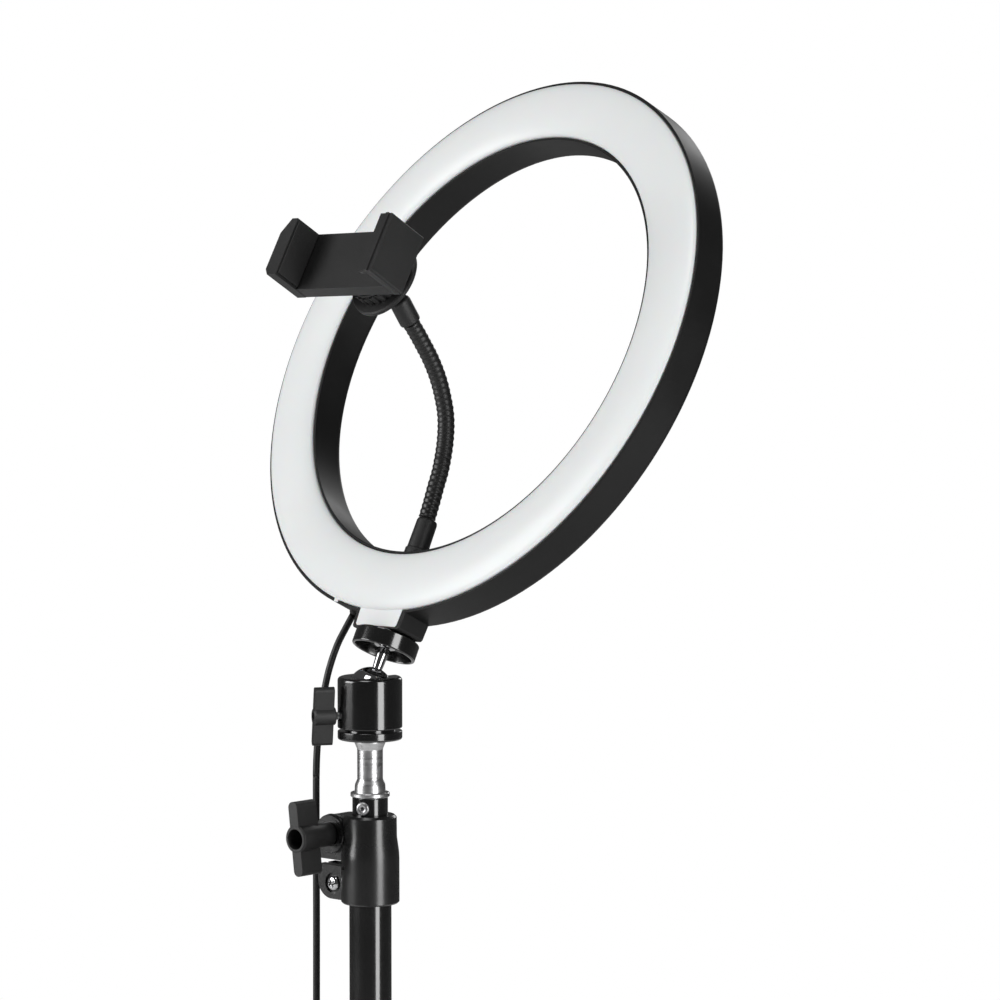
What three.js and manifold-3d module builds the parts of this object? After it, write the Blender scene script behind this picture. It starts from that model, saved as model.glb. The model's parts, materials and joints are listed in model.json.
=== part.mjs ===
// Ring lamp on a folding three-leg light stand, in millimetres, +Z up.
// The lamp faces -Y. The origin is on the floor, under the middle of the stand's box.
import * as THREE from "three";
import { mergeVertices } from "three/addons/utils/BufferGeometryUtils.js";
import Module from "manifold-3d";

const wasm = await Module();
wasm.setup();

const gap = 0.3; // between touching pieces
const degree = Math.PI / 180;

// Driving dimensions.
const ring = { outer: 130, inner: 100.6, depth: 17.5, wall: 1.2, dome: 3.6, segments: 60 };
const lug = { topWidth: 33, bottomWidth: 31.6, reach: 136.8, depth: 15 };
const ballHead = { ball: 9.75, stem: 162, radius: 14, rim: 5.7, base: -21.6 };
const lean = { angle: 27 * degree, towards: 95.1 * degree };
const tube = { top: 7.7, middle: 9.15, lower: 11, wall: 0.95 };
const level = { lowerClamp: 454.5, upperClamp: 593, exposedTop: 7.6, spigot: 25.2 };
const clamp = {
  height: 38.5, slit: [15, 17.6], boltInset: 8.9, boltLevel: 29, screwLevel: 7.2, halfEars: 5.5 };
const tripod = { pivot: 22, leg: 430, strut: 185, open: 60 * degree, legEnd: 12, first: -90 * degree };
const cord = { radius: 1.55, lift: 1.65 };

// Worked-out levels up the stand.
const footReach = tripod.pivot + (tripod.leg + 14) * Math.sin(tripod.open) + 5;
const standY = footReach / 4; // a leg points to -Y, so the box is centred this far behind the mast
const collarPivot = tripod.leg * Math.cos(tripod.open) + tripod.legEnd;
const strutPivot = collarPivot - 2 * tripod.strut * Math.cos(tripod.open);
const clampSeat = clamp.slit[0] - gap; // how far the lower tube of a pair goes into its clamp
const topTubeEnd = level.upperClamp + clamp.height + level.exposedTop;
const ballLevel = topTubeEnd + level.spigot - ballHead.base;

const finish = (color, roughness, metalness) =>
  new THREE.MeshStandardMaterial({ color, roughness, metalness });
const finishes = {
  housing: finish(0x1a1a1a, 0.5, 0),
  opal: finish(0xe6e6e6, 0.3, 0),
  board: finish(0xd8d8d0, 0.6, 0),
  brass: finish(0xb08d4a, 0.35, 1),
  rubber: finish(0x161616, 0.85, 0),
  moulded: finish(0x262626, 0.6, 0),
  enamel: finish(0x0e0e0e, 0.2, 0.1),
  chrome: finish(0xd0d0d0, 0.12, 1),
  steel: finish(0xa8a8a8, 0.35, 1),
  bareAluminium: finish(0xbcbcbc, 0.3, 1),
  cable: finish(0x121212, 0.5, 0),
};

// ---- solids ----

function toSolid(geometry) {
  const bare = new THREE.BufferGeometry().setAttribute("position", geometry.getAttribute("position"));
  if (geometry.index) bare.setIndex(geometry.index);
  const merged = mergeVertices(bare, 1e-4);
  const triVerts = new Uint32Array(merged.index.array);
  const vertProperties = merged.attributes.position.array;
  const solid = new wasm.Manifold(new wasm.Mesh({ numProp: 3, vertProperties, triVerts }));
  if (solid.volume() > 0) return solid;
  const turnedRound = triVerts.slice().reverse();
  return new wasm.Manifold(new wasm.Mesh({ numProp: 3, vertProperties, triVerts: turnedRound }));
}

function toGeometry(solid) {
  const mesh = solid.getMesh();
  const geometry = new THREE.BufferGeometry();
  geometry.setAttribute("position", new THREE.BufferAttribute(mesh.vertProperties.slice(), 3));
  geometry.setIndex(new THREE.BufferAttribute(mesh.triVerts.slice(), 1));
  return geometry;
}

const cut = (base, ...tools) =>
  toGeometry(tools.reduce((solid, tool) => solid.subtract(toSolid(tool)), toSolid(base)));

const join = (first, ...others) =>
  toGeometry(others.reduce((solid, other) => solid.add(toSolid(other)), toSolid(first)));

// A solid turned about Z from [radius, height] pairs, which start and end on the axis or close on themselves.
function turned(outline, segments = 32) {
  const points = outline.map(([radius, height]) => new THREE.Vector2(radius, height));
  const onAxis = points[0].x === 0 && points.at(-1).x === 0;
  if (!onAxis) points.push(points[0].clone());
  return toGeometry(toSolid(new THREE.LatheGeometry(points, segments).rotateX(Math.PI / 2)));
}

const tubeOf = (outer, inner, from, to, segments = 28) =>
  turned([[inner, from], [outer, from], [outer, to], [inner, to]], segments);

// A cylinder that stands on z = 0.
const rod = (radius, length, segments = 24) =>
  new THREE.CylinderGeometry(radius, radius, length, segments)
    .rotateX(Math.PI / 2)
    .translate(0, 0, length / 2);

const block = ([x0, x1], [y0, y1], [z0, z1]) =>
  new THREE.BoxGeometry(x1 - x0, y1 - y0, z1 - z0)
    .translate((x0 + x1) / 2, (y0 + y1) / 2, (z0 + z1) / 2);

function roundedRectangle(width, height, radius) {
  const [x, y] = [width / 2, height / 2];
  const shape = new THREE.Shape();
  shape.absarc(x - radius, y - radius, radius, 0, Math.PI / 2, false);
  shape.absarc(-x + radius, y - radius, radius, Math.PI / 2, Math.PI, false);
  shape.absarc(-x + radius, -y + radius, radius, Math.PI, 1.5 * Math.PI, false);
  shape.absarc(x - radius, -y + radius, radius, 1.5 * Math.PI, 2 * Math.PI, false);
  shape.closePath();
  return shape;
}

const extruded = (shape, depth, curveSegments = 4) =>
  new THREE.ExtrudeGeometry(shape, { depth, curveSegments, bevelEnabled: false });

const polygon = (corners) => new THREE.Shape(corners.map(([x, y]) => new THREE.Vector2(x, y)));

// An outline drawn in X and Z, with its thickness centred on y = 0.
const upright = (shape, thickness, curveSegments) =>
  extruded(shape, thickness, curveSegments).rotateX(Math.PI / 2).translate(0, thickness / 2, 0);

// Turns +Z to a direction, and moves the solid's origin to a point.
function along(geometry, direction, [x, y, z] = [0, 0, 0]) {
  const turn = new THREE.Quaternion().setFromUnitVectors(
    new THREE.Vector3(0, 0, 1), new THREE.Vector3(...direction).normalize());
  return geometry.applyQuaternion(turn).translate(x, y, z);
}

function tubeAlong(points, radius, steps, sides = 8) {
  const stops = points.map((point) => new THREE.Vector3(...point));
  const curve = new THREE.CatmullRomCurve3(stops, false, "centripetal");
  const corners = Array.from({ length: sides }, (_, i) => {
    const angle = (i / sides) * 2 * Math.PI;
    return [radius * Math.cos(angle), radius * Math.sin(angle)];
  });
  return new THREE.ExtrudeGeometry(polygon(corners), { steps, extrudePath: curve, bevelEnabled: false });
}

function piece(group, name, geometry, material) {
  const mesh = new THREE.Mesh(toGeometry(toSolid(geometry)), material);
  mesh.name = name;
  group.add(mesh);
}

const part = new THREE.Group();
const stand = new THREE.Group();
stand.position.y = standY;
part.add(stand);

// ---- knobs and split clamps ----

// A two-wing knob about Z: its inner end is at z = 0, and its end hole is at the far end.
function wingKnob({ hub, end, length, hole, bore, span, wing, wingDepth, holeDepth }) {
  const body = turned([
    [0, 0], [hub, 0], [hub, length * 0.4], [end, length * 0.6], [end, length - 0.6], [end - 0.6, length],
    [0, length]], 20);
  const bar = roundedRectangle(wing, span, wing / 2 - 0.1);
  const wings = extruded(bar, wingDepth).translate(0, 0, length - wingDepth);
  return cut(
    join(body, wings),
    rod(bore, length - holeDepth + 1, 12).translate(0, 0, -1),
    rod(hole, holeDepth + 1, 16).translate(0, 0, length - holeDepth),
  );
}

const clampKnob = {
  hub: 5.2, end: 6.1, length: 20.8, hole: 4.4, bore: 2.7, holeDepth: 9, span: 32.4, wing: 5.2, wingDepth: 12.4,
};

// A split collar: its lower ears grip the tube below, and its upper ears the tube above.
// Its own X runs out along the ears, and its own Y towards the knob.
function splitClamp(name, { base, turn, below, above, reach, knobTilt }) {
  const group = new THREE.Group();
  group.name = name + "_frame";
  group.position.z = base;
  group.rotation.z = turn;
  stand.add(group);
  const { height, boltLevel, screwLevel, halfEars } = clamp;
  const [slitLow, slitHigh] = clamp.slit;
  const outer = below + 3.5;
  const topOuter = above + 3.8;
  const bolt = reach - clamp.boltInset;
  const round = { lower: 8, upper: 10 };
  const shell = turned([
    [above - 2, 0], [outer - 0.4, 0], [outer, 0.6], [outer, height * 0.55],
    [topOuter, height - 0.7], [topOuter - 0.7, height], [above - 2, height],
  ], 32);
  const ears = new THREE.Shape();
  ears.moveTo(6, gap);
  ears.lineTo(reach - round.lower, gap);
  ears.absarc(reach - round.lower, gap + round.lower, round.lower, -Math.PI / 2, 0, false);
  ears.absarc(reach - round.upper, height - 1 - round.upper, round.upper, 0, Math.PI / 2, false);
  ears.lineTo(6, height - 1);
  ears.closePath();
  const sideways = [0, 1, 0];
  const body = cut(
    join(
      shell,
      upright(ears, 2 * halfEars, 6),
      along(rod(8.4, 2.2, 24), sideways, [bolt, halfEars - 0.1, boltLevel]),
    ),
    rod(below + gap, slitLow + 1, 28).translate(0, 0, -1),
    rod(above + gap, height, 28).translate(0, 0, slitLow - 0.2),
    block([0, reach + 5], [-1, 1], [-1, height + 1]),
    block([4, reach + 5], [-20, 20], [slitLow, slitHigh]),
    along(rod(2.7, 40, 12), sideways, [bolt, -20, boltLevel]),
    along(rod(2.3, 40, 12), sideways, [bolt, -20, screwLevel]),
    along(rod(4.5, 5, 16), sideways, [bolt, halfEars - 1.1, screwLevel]),
  );
  piece(group, name, body, finishes.enamel);

  const knobStart = halfEars + 2.1 + gap;
  const knob = wingKnob(clampKnob).rotateZ(knobTilt);
  piece(group, name + "_knob", along(knob, sideways, [bolt, knobStart, boltLevel]), finishes.moulded);

  const headHeight = 2.6;
  const boltSolid = join(rod(4.6, headHeight, 6), rod(2.35, 2 * halfEars + 13 + headHeight, 12));
  const boltStart = -halfEars - gap - headHeight;
  piece(group, name + "_bolt", along(boltSolid, sideways, [bolt, boltStart, boltLevel]), finishes.steel);

  const screw = join(
    rod(2, 2 * halfEars + 3, 16),
    rod(3.8, 2.4, 6).translate(0, 0, -2.4),
    turned([[0, 0], [3.3, 0], [3, 1], [1.9, 1.6], [0, 1.8]], 16).translate(0, 0, 2 * halfEars - 0.5),
  );
  const cross = join(block([-0.45, 0.45], [-2, 2], [-0.7, 3]), block([-2, 2], [-0.45, 0.45], [-0.7, 3]));
  const slotted = cut(screw, cross.translate(0, 0, 2 * halfEars + 0.8));
  const screwAt = [bolt, -halfEars - gap, screwLevel];
  piece(group, name + "_pinch_screw", along(slotted, sideways, screwAt), finishes.steel);
}

// ---- tripod ----

function makeTripod() {
  const inner = tube.lower - tube.wall;
  piece(stand, "lower_tube",
    tubeOf(tube.lower, inner, strutPivot - 9, level.lowerClamp + clampSeat), finishes.enamel);

  // Sliding collar with three pairs of ears and the pins that the legs turn on.
  const legWidth = 11;
  const ear = legWidth / 2 + 0.4;
  const earOutline = roundedRectangle(20, 15, 6);
  const hub = turned([
    [tube.lower + gap, -17], [17, -17], [17.5, -16.4], [17.5, 10], [14.5, 17], [tube.lower + gap, 17]], 28);
  const collarEars = [0, 1, 2].flatMap((i) => {
    const angle = tripod.first + i * 120 * degree;
    const sides = [-1, 1].map((side) =>
      upright(earOutline, 3, 2).translate(tripod.pivot - 3, side * (ear + 1.5), 0).rotateZ(angle));
    const pin = along(rod(2, 2 * ear + 8, 10), [0, 1, 0], [tripod.pivot, -ear - 4, 0]).rotateZ(angle);
    return [...sides, pin];
  });
  const slots = [0, 1, 2].map((i) =>
    block([12.9, 60], [-ear, ear], [-30, 9.5]).rotateZ(tripod.first + i * 120 * degree));
  const knobTurn = tripod.first + 60 * degree;
  const boss = along(rod(6.4, 20, 20), [1, 0, 0], [tube.lower + 1, 0, 5]).rotateZ(knobTurn);
  const slottedHub = cut(join(hub, boss), ...slots);
  const legCollar = cut(
    join(slottedHub, ...collarEars),
    rod(tube.lower + gap, 60, 28).translate(0, 0, -30),
    along(rod(2.7, 30, 16), [1, 0, 0], [5, 0, 5]).rotateZ(knobTurn),
  );
  piece(stand, "leg_collar", legCollar.translate(0, 0, collarPivot), finishes.enamel);
  const stud = rod(2.35, 32, 16).translate(0, 0, -20);
  const knob = join(wingKnob({ ...clampKnob, bore: 2.2 }), stud);
  piece(stand, "leg_collar_knob",
    along(knob, [1, 0, 0], [tube.lower + 21 + gap, 0, 5]).rotateZ(knobTurn).translate(0, 0, collarPivot),
    finishes.moulded);

  // Fixed collar at the foot of the mast, with one lug and pin for each strut.
  const spider = [0, 1, 2].flatMap((i) => {
    const angle = tripod.first + i * 120 * degree;
    const lugSolid = upright(roundedRectangle(16, 12, 5.5), legWidth, 2).translate(tripod.pivot - 2, 0, 0);
    const pin = along(rod(2, 2 * ear + 6, 10), [0, 1, 0], [tripod.pivot, -ear - 3, 0]);
    return [lugSolid.rotateZ(angle), pin.rotateZ(angle)];
  });
  const spiderHub = turned([[0, -15], [14, -15], [16, -13], [16, 9], [0, 9]], 28);
  const socket = tubeOf(tube.lower + gap, inner - gap, -9 - gap, 12, 28);
  piece(stand, "strut_collar",
    cut(join(spiderHub, ...spider), socket).translate(0, 0, strutPivot), finishes.enamel);

  for (const i of [0, 1, 2]) {
    const group = new THREE.Group();
    group.rotation.z = tripod.first + i * 120 * degree;
    stand.add(group);
    const tilt = Math.PI - tripod.open;
    const leg = cut(
      extruded(roundedRectangle(14, legWidth, 4.5), tripod.leg + 5, 2).translate(0, 0, -5),
      extruded(roundedRectangle(11.6, legWidth - 2.4, 3.3), tripod.leg - 10, 2).translate(0, 0, 14),
      along(rod(2.3, 20, 10), [0, 1, 0], [0, -10, 0]),
    );
    leg.rotateY(tilt).translate(tripod.pivot, 0, collarPivot);
    piece(group, "leg_" + (i + 1), leg, finishes.enamel);

    const boot = cut(
      extruded(roundedRectangle(19, 16, 6), 38, 3).translate(0, 0, tripod.leg - 24),
      extruded(roundedRectangle(14.6, legWidth + 0.6, 4.6), 30, 2).translate(0, 0, tripod.leg - 30 + gap),
    );
    const floor = block([-900, 900], [-900, 900], [-100, 0]);
    piece(group, "foot_" + (i + 1),
      cut(boot.rotateY(tilt).translate(tripod.pivot, 0, collarPivot), floor), finishes.rubber);

    // Channel strut: its two cheeks pass either side of the leg, and its web stops short of it.
    const webEnd = tripod.strut * 0.62;
    const cheek = polygon([
      [-8.6, 10], [-2, -6], [4.4, -4], [5, 10], [5, tripod.strut - 4], [2.5, tripod.strut + 6],
      [-2.5, tripod.strut + 6], [-5, tripod.strut - 4], [-8.6, webEnd]]);
    const cheeks = [-1, 1].map((side) => upright(cheek, 1.5).translate(0, side * (ear + 0.75), 0));
    const heads = [-1, 1].map((side) =>
      along(rod(3.2, 1.4, 10), [0, side, 0], [0, side * (ear + 1.4), tripod.strut]));
    const web = block([-8.6, -7.4], [-ear - 0.5, ear + 0.5], [12, webEnd]);
    const strut = cut(
      join(web, ...cheeks, ...heads),
      along(rod(2.3, 30, 10), [0, 1, 0], [0, -15, 0]),
    );
    piece(group, "strut_" + (i + 1),
      strut.rotateY(tripod.open).translate(tripod.pivot, 0, strutPivot), finishes.enamel);
  }
}

// ---- telescoping mast ----

function makeMast() {
  splitClamp("lower_clamp", {
    base: level.lowerClamp, turn: -70 * degree, below: tube.lower, above: tube.middle, reach: 28.8,
    knobTilt: 0.5 });
  splitClamp("upper_clamp", {
    base: level.upperClamp, turn: 187.6 * degree, below: tube.middle, above: tube.top, reach: 26.3,
    knobTilt: 0.12 });

  const bush = (outer, seat, end) => turned([
    [seat - 1.6, end - 14], [outer, end - 14], [outer, end - gap], [seat, end - gap],
    [seat, end + 12], [seat - 1.6, end + 12]], 28);
  const middleEnd = level.upperClamp + clampSeat;
  const middleStart = middleEnd - 420;
  piece(stand, "middle_tube",
    tubeOf(tube.middle, tube.middle - tube.wall, middleStart, middleEnd), finishes.enamel);
  piece(stand, "middle_bush",
    bush(tube.lower - tube.wall - gap, tube.middle - tube.wall - gap, middleStart), finishes.moulded);

  const topStart = topTubeEnd - 405;
  const rivetTurn = -61.6 * degree;
  const rivetLevel = topTubeEnd - 4.2;
  const rivetWay = [Math.cos(rivetTurn), Math.sin(rivetTurn), 0];
  piece(stand, "top_tube",
    cut(tubeOf(tube.top, tube.top - tube.wall, topStart, topTubeEnd),
      along(rod(1.9, 12, 16), rivetWay, [0, 0, rivetLevel])), finishes.enamel);
  piece(stand, "top_bush",
    bush(tube.middle - tube.wall - gap, tube.top - tube.wall - gap, topStart), finishes.moulded);

  // Spigot with its waist, its rim on the tube's end, and the stud that the ball head screws onto.
  const plug = tube.top - tube.wall - gap;
  const spigot = turned([
    [0, -19], [plug, -19], [plug, gap], [8.5, gap], [8.5, 2.2], [6.7, 2.7], [6.6, 5.2],
    [5.6, 7.8], [5.55, 21], [6.75, 23.8], [6.75, level.spigot - gap], [3.1, level.spigot - gap],
    [3.1, level.spigot + 7], [0, level.spigot + 7]], 24).translate(0, 0, topTubeEnd);
  piece(stand, "spigot",
    cut(spigot, along(rod(1.9, 12, 16), rivetWay, [0, 0, rivetLevel])), finishes.bareAluminium);
  const rivet = turned([
    [0, -6.5], [1.6, -6.5], [1.6, gap], [3, gap], [2.9, 0.9], [1.9, 1.3], [0.9, 1.1], [0.8, 0],
    [0, -0.2]], 14);
  piece(stand, "spigot_rivet",
    along(rivet, rivetWay, rivetWay.map((c, i) => c * (tube.top + 0.05) + (i === 2 ? rivetLevel : 0))),
    finishes.steel);
}

// ---- ball head ----

function makeBallHead() {
  const head = new THREE.Group();
  head.position.z = ballLevel;
  stand.add(head);
  const { radius, rim, base, ball } = ballHead;
  const socket = ball + gap;
  const arc = (from, to, count, size) => Array.from({ length: count + 1 }, (_, i) => {
    const angle = from + ((to - from) * i) / count;
    return [size * Math.cos(angle), size * Math.sin(angle)];
  });

  const foot = cut(
    turned([
      [0, base], [radius - 1.6, base], [radius, base + 1.6], [radius, base + 3.9],
      [10.9, base + 3.9], [10.9, base + 4.8], [8, base + 4.8], [8, base + 7], [0, base + 7]], 32),
    rod(3.4, 20, 16).translate(0, 0, base - 1),
  );
  piece(head, "ball_base", foot, finishes.enamel);

  const knobTurn = -114.9 * degree;
  const knobWay = [Math.cos(knobTurn), Math.sin(knobTurn), 0];
  const knobLevel = -11;
  const housing = cut(
    turned([
      [8.3, base + 5.1], [radius - 0.3, base + 5.1], [radius, base + 5.5], [radius, rim - 1],
      [radius - 0.9, rim], ...arc(Math.asin(rim / socket), 0, 5, socket), [socket, -10.4], [8.3, -10.4]], 36),
    along(rod(2.2, 12, 16), knobWay, knobWay.map((c, i) => c * 6 + (i === 2 ? knobLevel : 0))),
    join(block([0, 20], [-3.1, 3.1], [0, 10]), along(rod(3.1, 20, 24), [1, 0, 0])).rotateZ(lean.towards),
  );
  piece(head, "ball_housing", housing, finishes.enamel);

  const shoe = turned([
    [0, -14.2], [7.6, -14.2], [7.9, -13.8], [7.9, -10.1], [9.7, -10.1],
    ...arc(-0.55, -Math.PI / 2, 4, socket)], 24);
  piece(head, "ball_shoe", shoe, finishes.moulded);

  const start = radius + 1.6;
  const wing = wingKnob({
    hub: 3.9, end: 3.9, length: 9.6, hole: 1.8, bore: 2.2, holeDepth: 2, span: 26.2, wing: 3.8, wingDepth: 8.8,
  });
  piece(head, "wing_knob",
    along(wing.rotateZ(-0.63), knobWay, knobWay.map((c, i) => c * start + (i === 2 ? knobLevel : 0))),
    finishes.moulded);
  const screwStart = 10.1;
  piece(head, "wing_screw",
    along(rod(1.75, start + 6 - screwStart, 16), knobWay,
      knobWay.map((c, i) => c * screwStart + (i === 2 ? knobLevel : 0))), finishes.steel);
}

// ---- lamp head: its own Z is the stem, its own -Y the way that the lamp faces ----

const lampHead = new THREE.Group();
lampHead.name = "lamp_frame";
lampHead.position.z = ballLevel;
lampHead.quaternion.setFromAxisAngle(
  new THREE.Vector3(-Math.sin(lean.towards), Math.cos(lean.towards), 0), lean.angle);
stand.add(lampHead);
const middle = ring.depth / 2;

// A point by its place across the ring, up from the ring's centre, and forward of its front rim.
const lampPoint = (across, up, forward) => [across, -forward - middle, ballHead.stem + up];

// A solid made about Z, front towards +Z, put in the ring's place.
const onRing = (geometry) => geometry.rotateX(Math.PI / 2).translate(0, -middle, ballHead.stem);

function makeStem() {
  const { ball } = ballHead;
  const neckAngle = Math.acos(2.2 / ball);
  const profile = Array.from({ length: 12 }, (_, i) => {
    const angle = -Math.PI / 2 + ((neckAngle + Math.PI / 2) * i) / 11;
    return [i === 0 ? 0 : ball * Math.cos(angle), ball * Math.sin(angle)];
  });
  profile.push([2.75, 19], [4.9, 19.7], [4.9, 22], [3, 22], [3, 34], [0, 34]);
  piece(lampHead, "ball_stud", turned(profile, 24), finishes.chrome);
  const discBottom = 17.4;
  const discTop = ballHead.stem - lug.reach - gap;
  piece(lampHead, "lock_disc", turned([
    [3.35, discTop - 2.5], [12.6, discTop - 2.5], [13, discBottom], [13.8, discBottom],
    [14.3, discBottom + 0.6], [14.3, discTop - 0.7], [13.7, discTop], [3.35, discTop]], 32), finishes.enamel);
}

function makeRing() {
  const { outer, inner, depth, wall, dome, segments } = ring;
  const floor = 1.6;
  const trough = turned([
    [outer, 0], [outer, 3 - depth], [outer - 0.9, 0.9 - depth], [outer - 3, -depth],
    [inner + 3, -depth], [inner + 0.9, 0.9 - depth], [inner, 3 - depth], [inner, 0],
    [inner + wall, 0], [inner + wall, floor - depth], [outer - wall, floor - depth], [outer - wall, 0],
  ], segments);
  const lugShape = (sides, end, start) => {
    const [top, bottom] = [lug.topWidth / 2 - sides, lug.bottomWidth / 2 - sides];
    const foot = -lug.reach + end;
    return polygon([[-top, start], [-bottom, foot], [bottom, foot], [top, start]]);
  };
  const tabInset = { sides: 2.1, end: 0.9 };
  const insertHole = along(rod(4.2, 16, 20), [0, 1, 0], [0, -lug.reach - 1, -middle]);
  const cordAngle = -13.6 * degree;
  const cordDepth = 10;
  const outward = [Math.sin(cordAngle), -Math.cos(cordAngle), 0];
  const onCordLine = (radius) => outward.map((c, i) => c * radius + (i === 2 ? -cordDepth : 0));
  const glandHole = along(rod(2.5, 8, 16), outward, onCordLine(outer - 6));
  const nub = { from: -34.2, to: -31.3, reach: -125.4, low: -1.3 };
  const notch = block([nub.from - gap, nub.to + gap], [-outer, -outer + 12], [nub.low - gap, 1]);
  const housing = cut(
    join(trough, extruded(lugShape(0, 0, -outer + 3), lug.depth).translate(0, 0, -lug.depth)),
    turned([
      [inner + wall, floor - depth], [outer - wall, floor - depth], [outer - wall, 1], [inner + wall, 1],
    ], segments),
    extruded(lugShape(tabInset.sides - gap, tabInset.end - gap, -outer + 4), 4).translate(0, 0, -2),
    insertHole, glandHole, notch,
  );
  piece(lampHead, "ring_housing", onRing(housing), finishes.housing);

  // Opal cover: a shallow arch round the ring, with a flat tab over the lug.
  const [coverInner, coverOuter] = [inner + wall + gap, outer - wall - gap];
  const centre = (coverInner + coverOuter) / 2;
  const half = (coverOuter - coverInner) / 2;
  const arch = (width, height, count) => Array.from({ length: count + 1 }, (_, i) => {
    const angle = (Math.PI * i) / count;
    return [centre + width * Math.cos(angle), height * Math.sin(angle)];
  });
  const skirt = -2;
  const cover = turned([
    [coverOuter, skirt], ...arch(half, dome, 7), [coverInner, skirt],
    [coverInner + 1.4, skirt], ...arch(half - 1.4, dome - 1.5, 4).reverse(), [coverOuter - 1.4, skirt],
  ], segments);
  const tab = extruded(lugShape(tabInset.sides, tabInset.end, -outer + 4), 1.8).translate(0, 0, -1.7);
  const nubSolid = block([nub.from, nub.to], [nub.reach, nub.reach + 2.4], [nub.low, 0]);
  piece(lampHead, "diffuser", onRing(join(cover, tab, nubSolid)), finishes.opal);

  piece(lampHead, "led_board",
    onRing(tubeOf(outer - 5, inner + 5, floor + gap - depth, floor + gap + 1.2 - depth, 48)), finishes.board);

  const insert = cut(rod(4.2 - gap, 11, 20), rod(3.3, 13, 20).translate(0, 0, -1));
  piece(lampHead, "lug_insert",
    insert.translate(0, 0, ballHead.stem - lug.reach + 0.4), finishes.brass);

  const gland = turned([[0, -4], [2.2, -4], [2.2, 0.2], [1.9, 0.8], [0, 0.8]], 16);
  piece(lampHead, "cord_gland", onRing(along(gland, outward, onCordLine(outer))), finishes.rubber);
}

// ---- gooseneck and phone holder ----

const neckRadius = 3.7;
// The neck's line in the ring's middle plane: [up, forward].
const neckLine = [
  [-81.7, -7.1], [-74.5, -6.6], [-67.2, -5.9], [-60.5, -5.4], [-54.7, -4.4], [-47.5, -2.6], [-40.3, 0.1],
  [-35, 3], [-30.3, 6.6], [-25.7, 10.7], [-21.6, 15.2], [-17.3, 21], [-13.5, 27.4], [-10.9, 32], [-8.4, 36.9]];
const holderBall = { up: 1.6, forward: 54 };

function makeNeck() {
  const socketFoot = lampPoint(0, -ring.inner - 0.35 + 1.1, -7.9);
  const socketEnd = lampPoint(0, -82.4, -7.1);
  const length = socketEnd[2] - socketFoot[2];
  const ferrule = turned([
    [0, 0], [5.3, 0], [5.3, 3], [4.8, 3.4], [4.6, length - 1], [4.1, length], [0, length]], 24);
  piece(lampHead, "neck_socket", ferrule.translate(...socketFoot), finishes.moulded);

  const names = ["neck_lower", "neck_middle", "neck_upper"];
  const curve = new THREE.CatmullRomCurve3(
    neckLine.map(([up, forward]) => new THREE.Vector3(...lampPoint(0, up, forward))), false, "centripetal");
  const total = curve.getLength();
  const breather = 1.1; // half the clearance at each bend
  names.forEach((name, i) => {
    const from = (i / names.length) * total + (i === 0 ? 2 * breather : breather);
    const to = ((i + 1) / names.length) * total - (i === names.length - 1 ? 0 : breather);
    const points = Array.from({ length: 7 }, (_, k) =>
      curve.getPointAt((from + ((to - from) * k) / 6) / total).toArray());
    piece(lampHead, name, tubeAlong(points, neckRadius, 8, 12), finishes.moulded);
  });

  // Upper ferrule and the ball that the phone holder swivels on.
  const end = new THREE.Vector3(...lampPoint(0, ...neckLine.at(-1)));
  const ballAt = new THREE.Vector3(...lampPoint(0, holderBall.up, holderBall.forward));
  const way = ballAt.clone().sub(end);
  const reach = way.length();
  const stem = turned([
    [0, gap], [4.1, gap], [4.7, 1.2], [4.7, 11], [3.9, 12.2], [2.6, 12.6], [2.6, reach - 4.2],
    [4.4, reach - 3], [5.3, reach], [4.6, reach + 2.7], [2.6, reach + 4.6], [0, reach + 5.2]], 24);
  piece(lampHead, "holder_ball", along(stem, way.toArray(), end.toArray()), finishes.moulded);
}

const holder = new THREE.Group();
holder.name = "holder_frame";
lampHead.add(holder);

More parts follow.
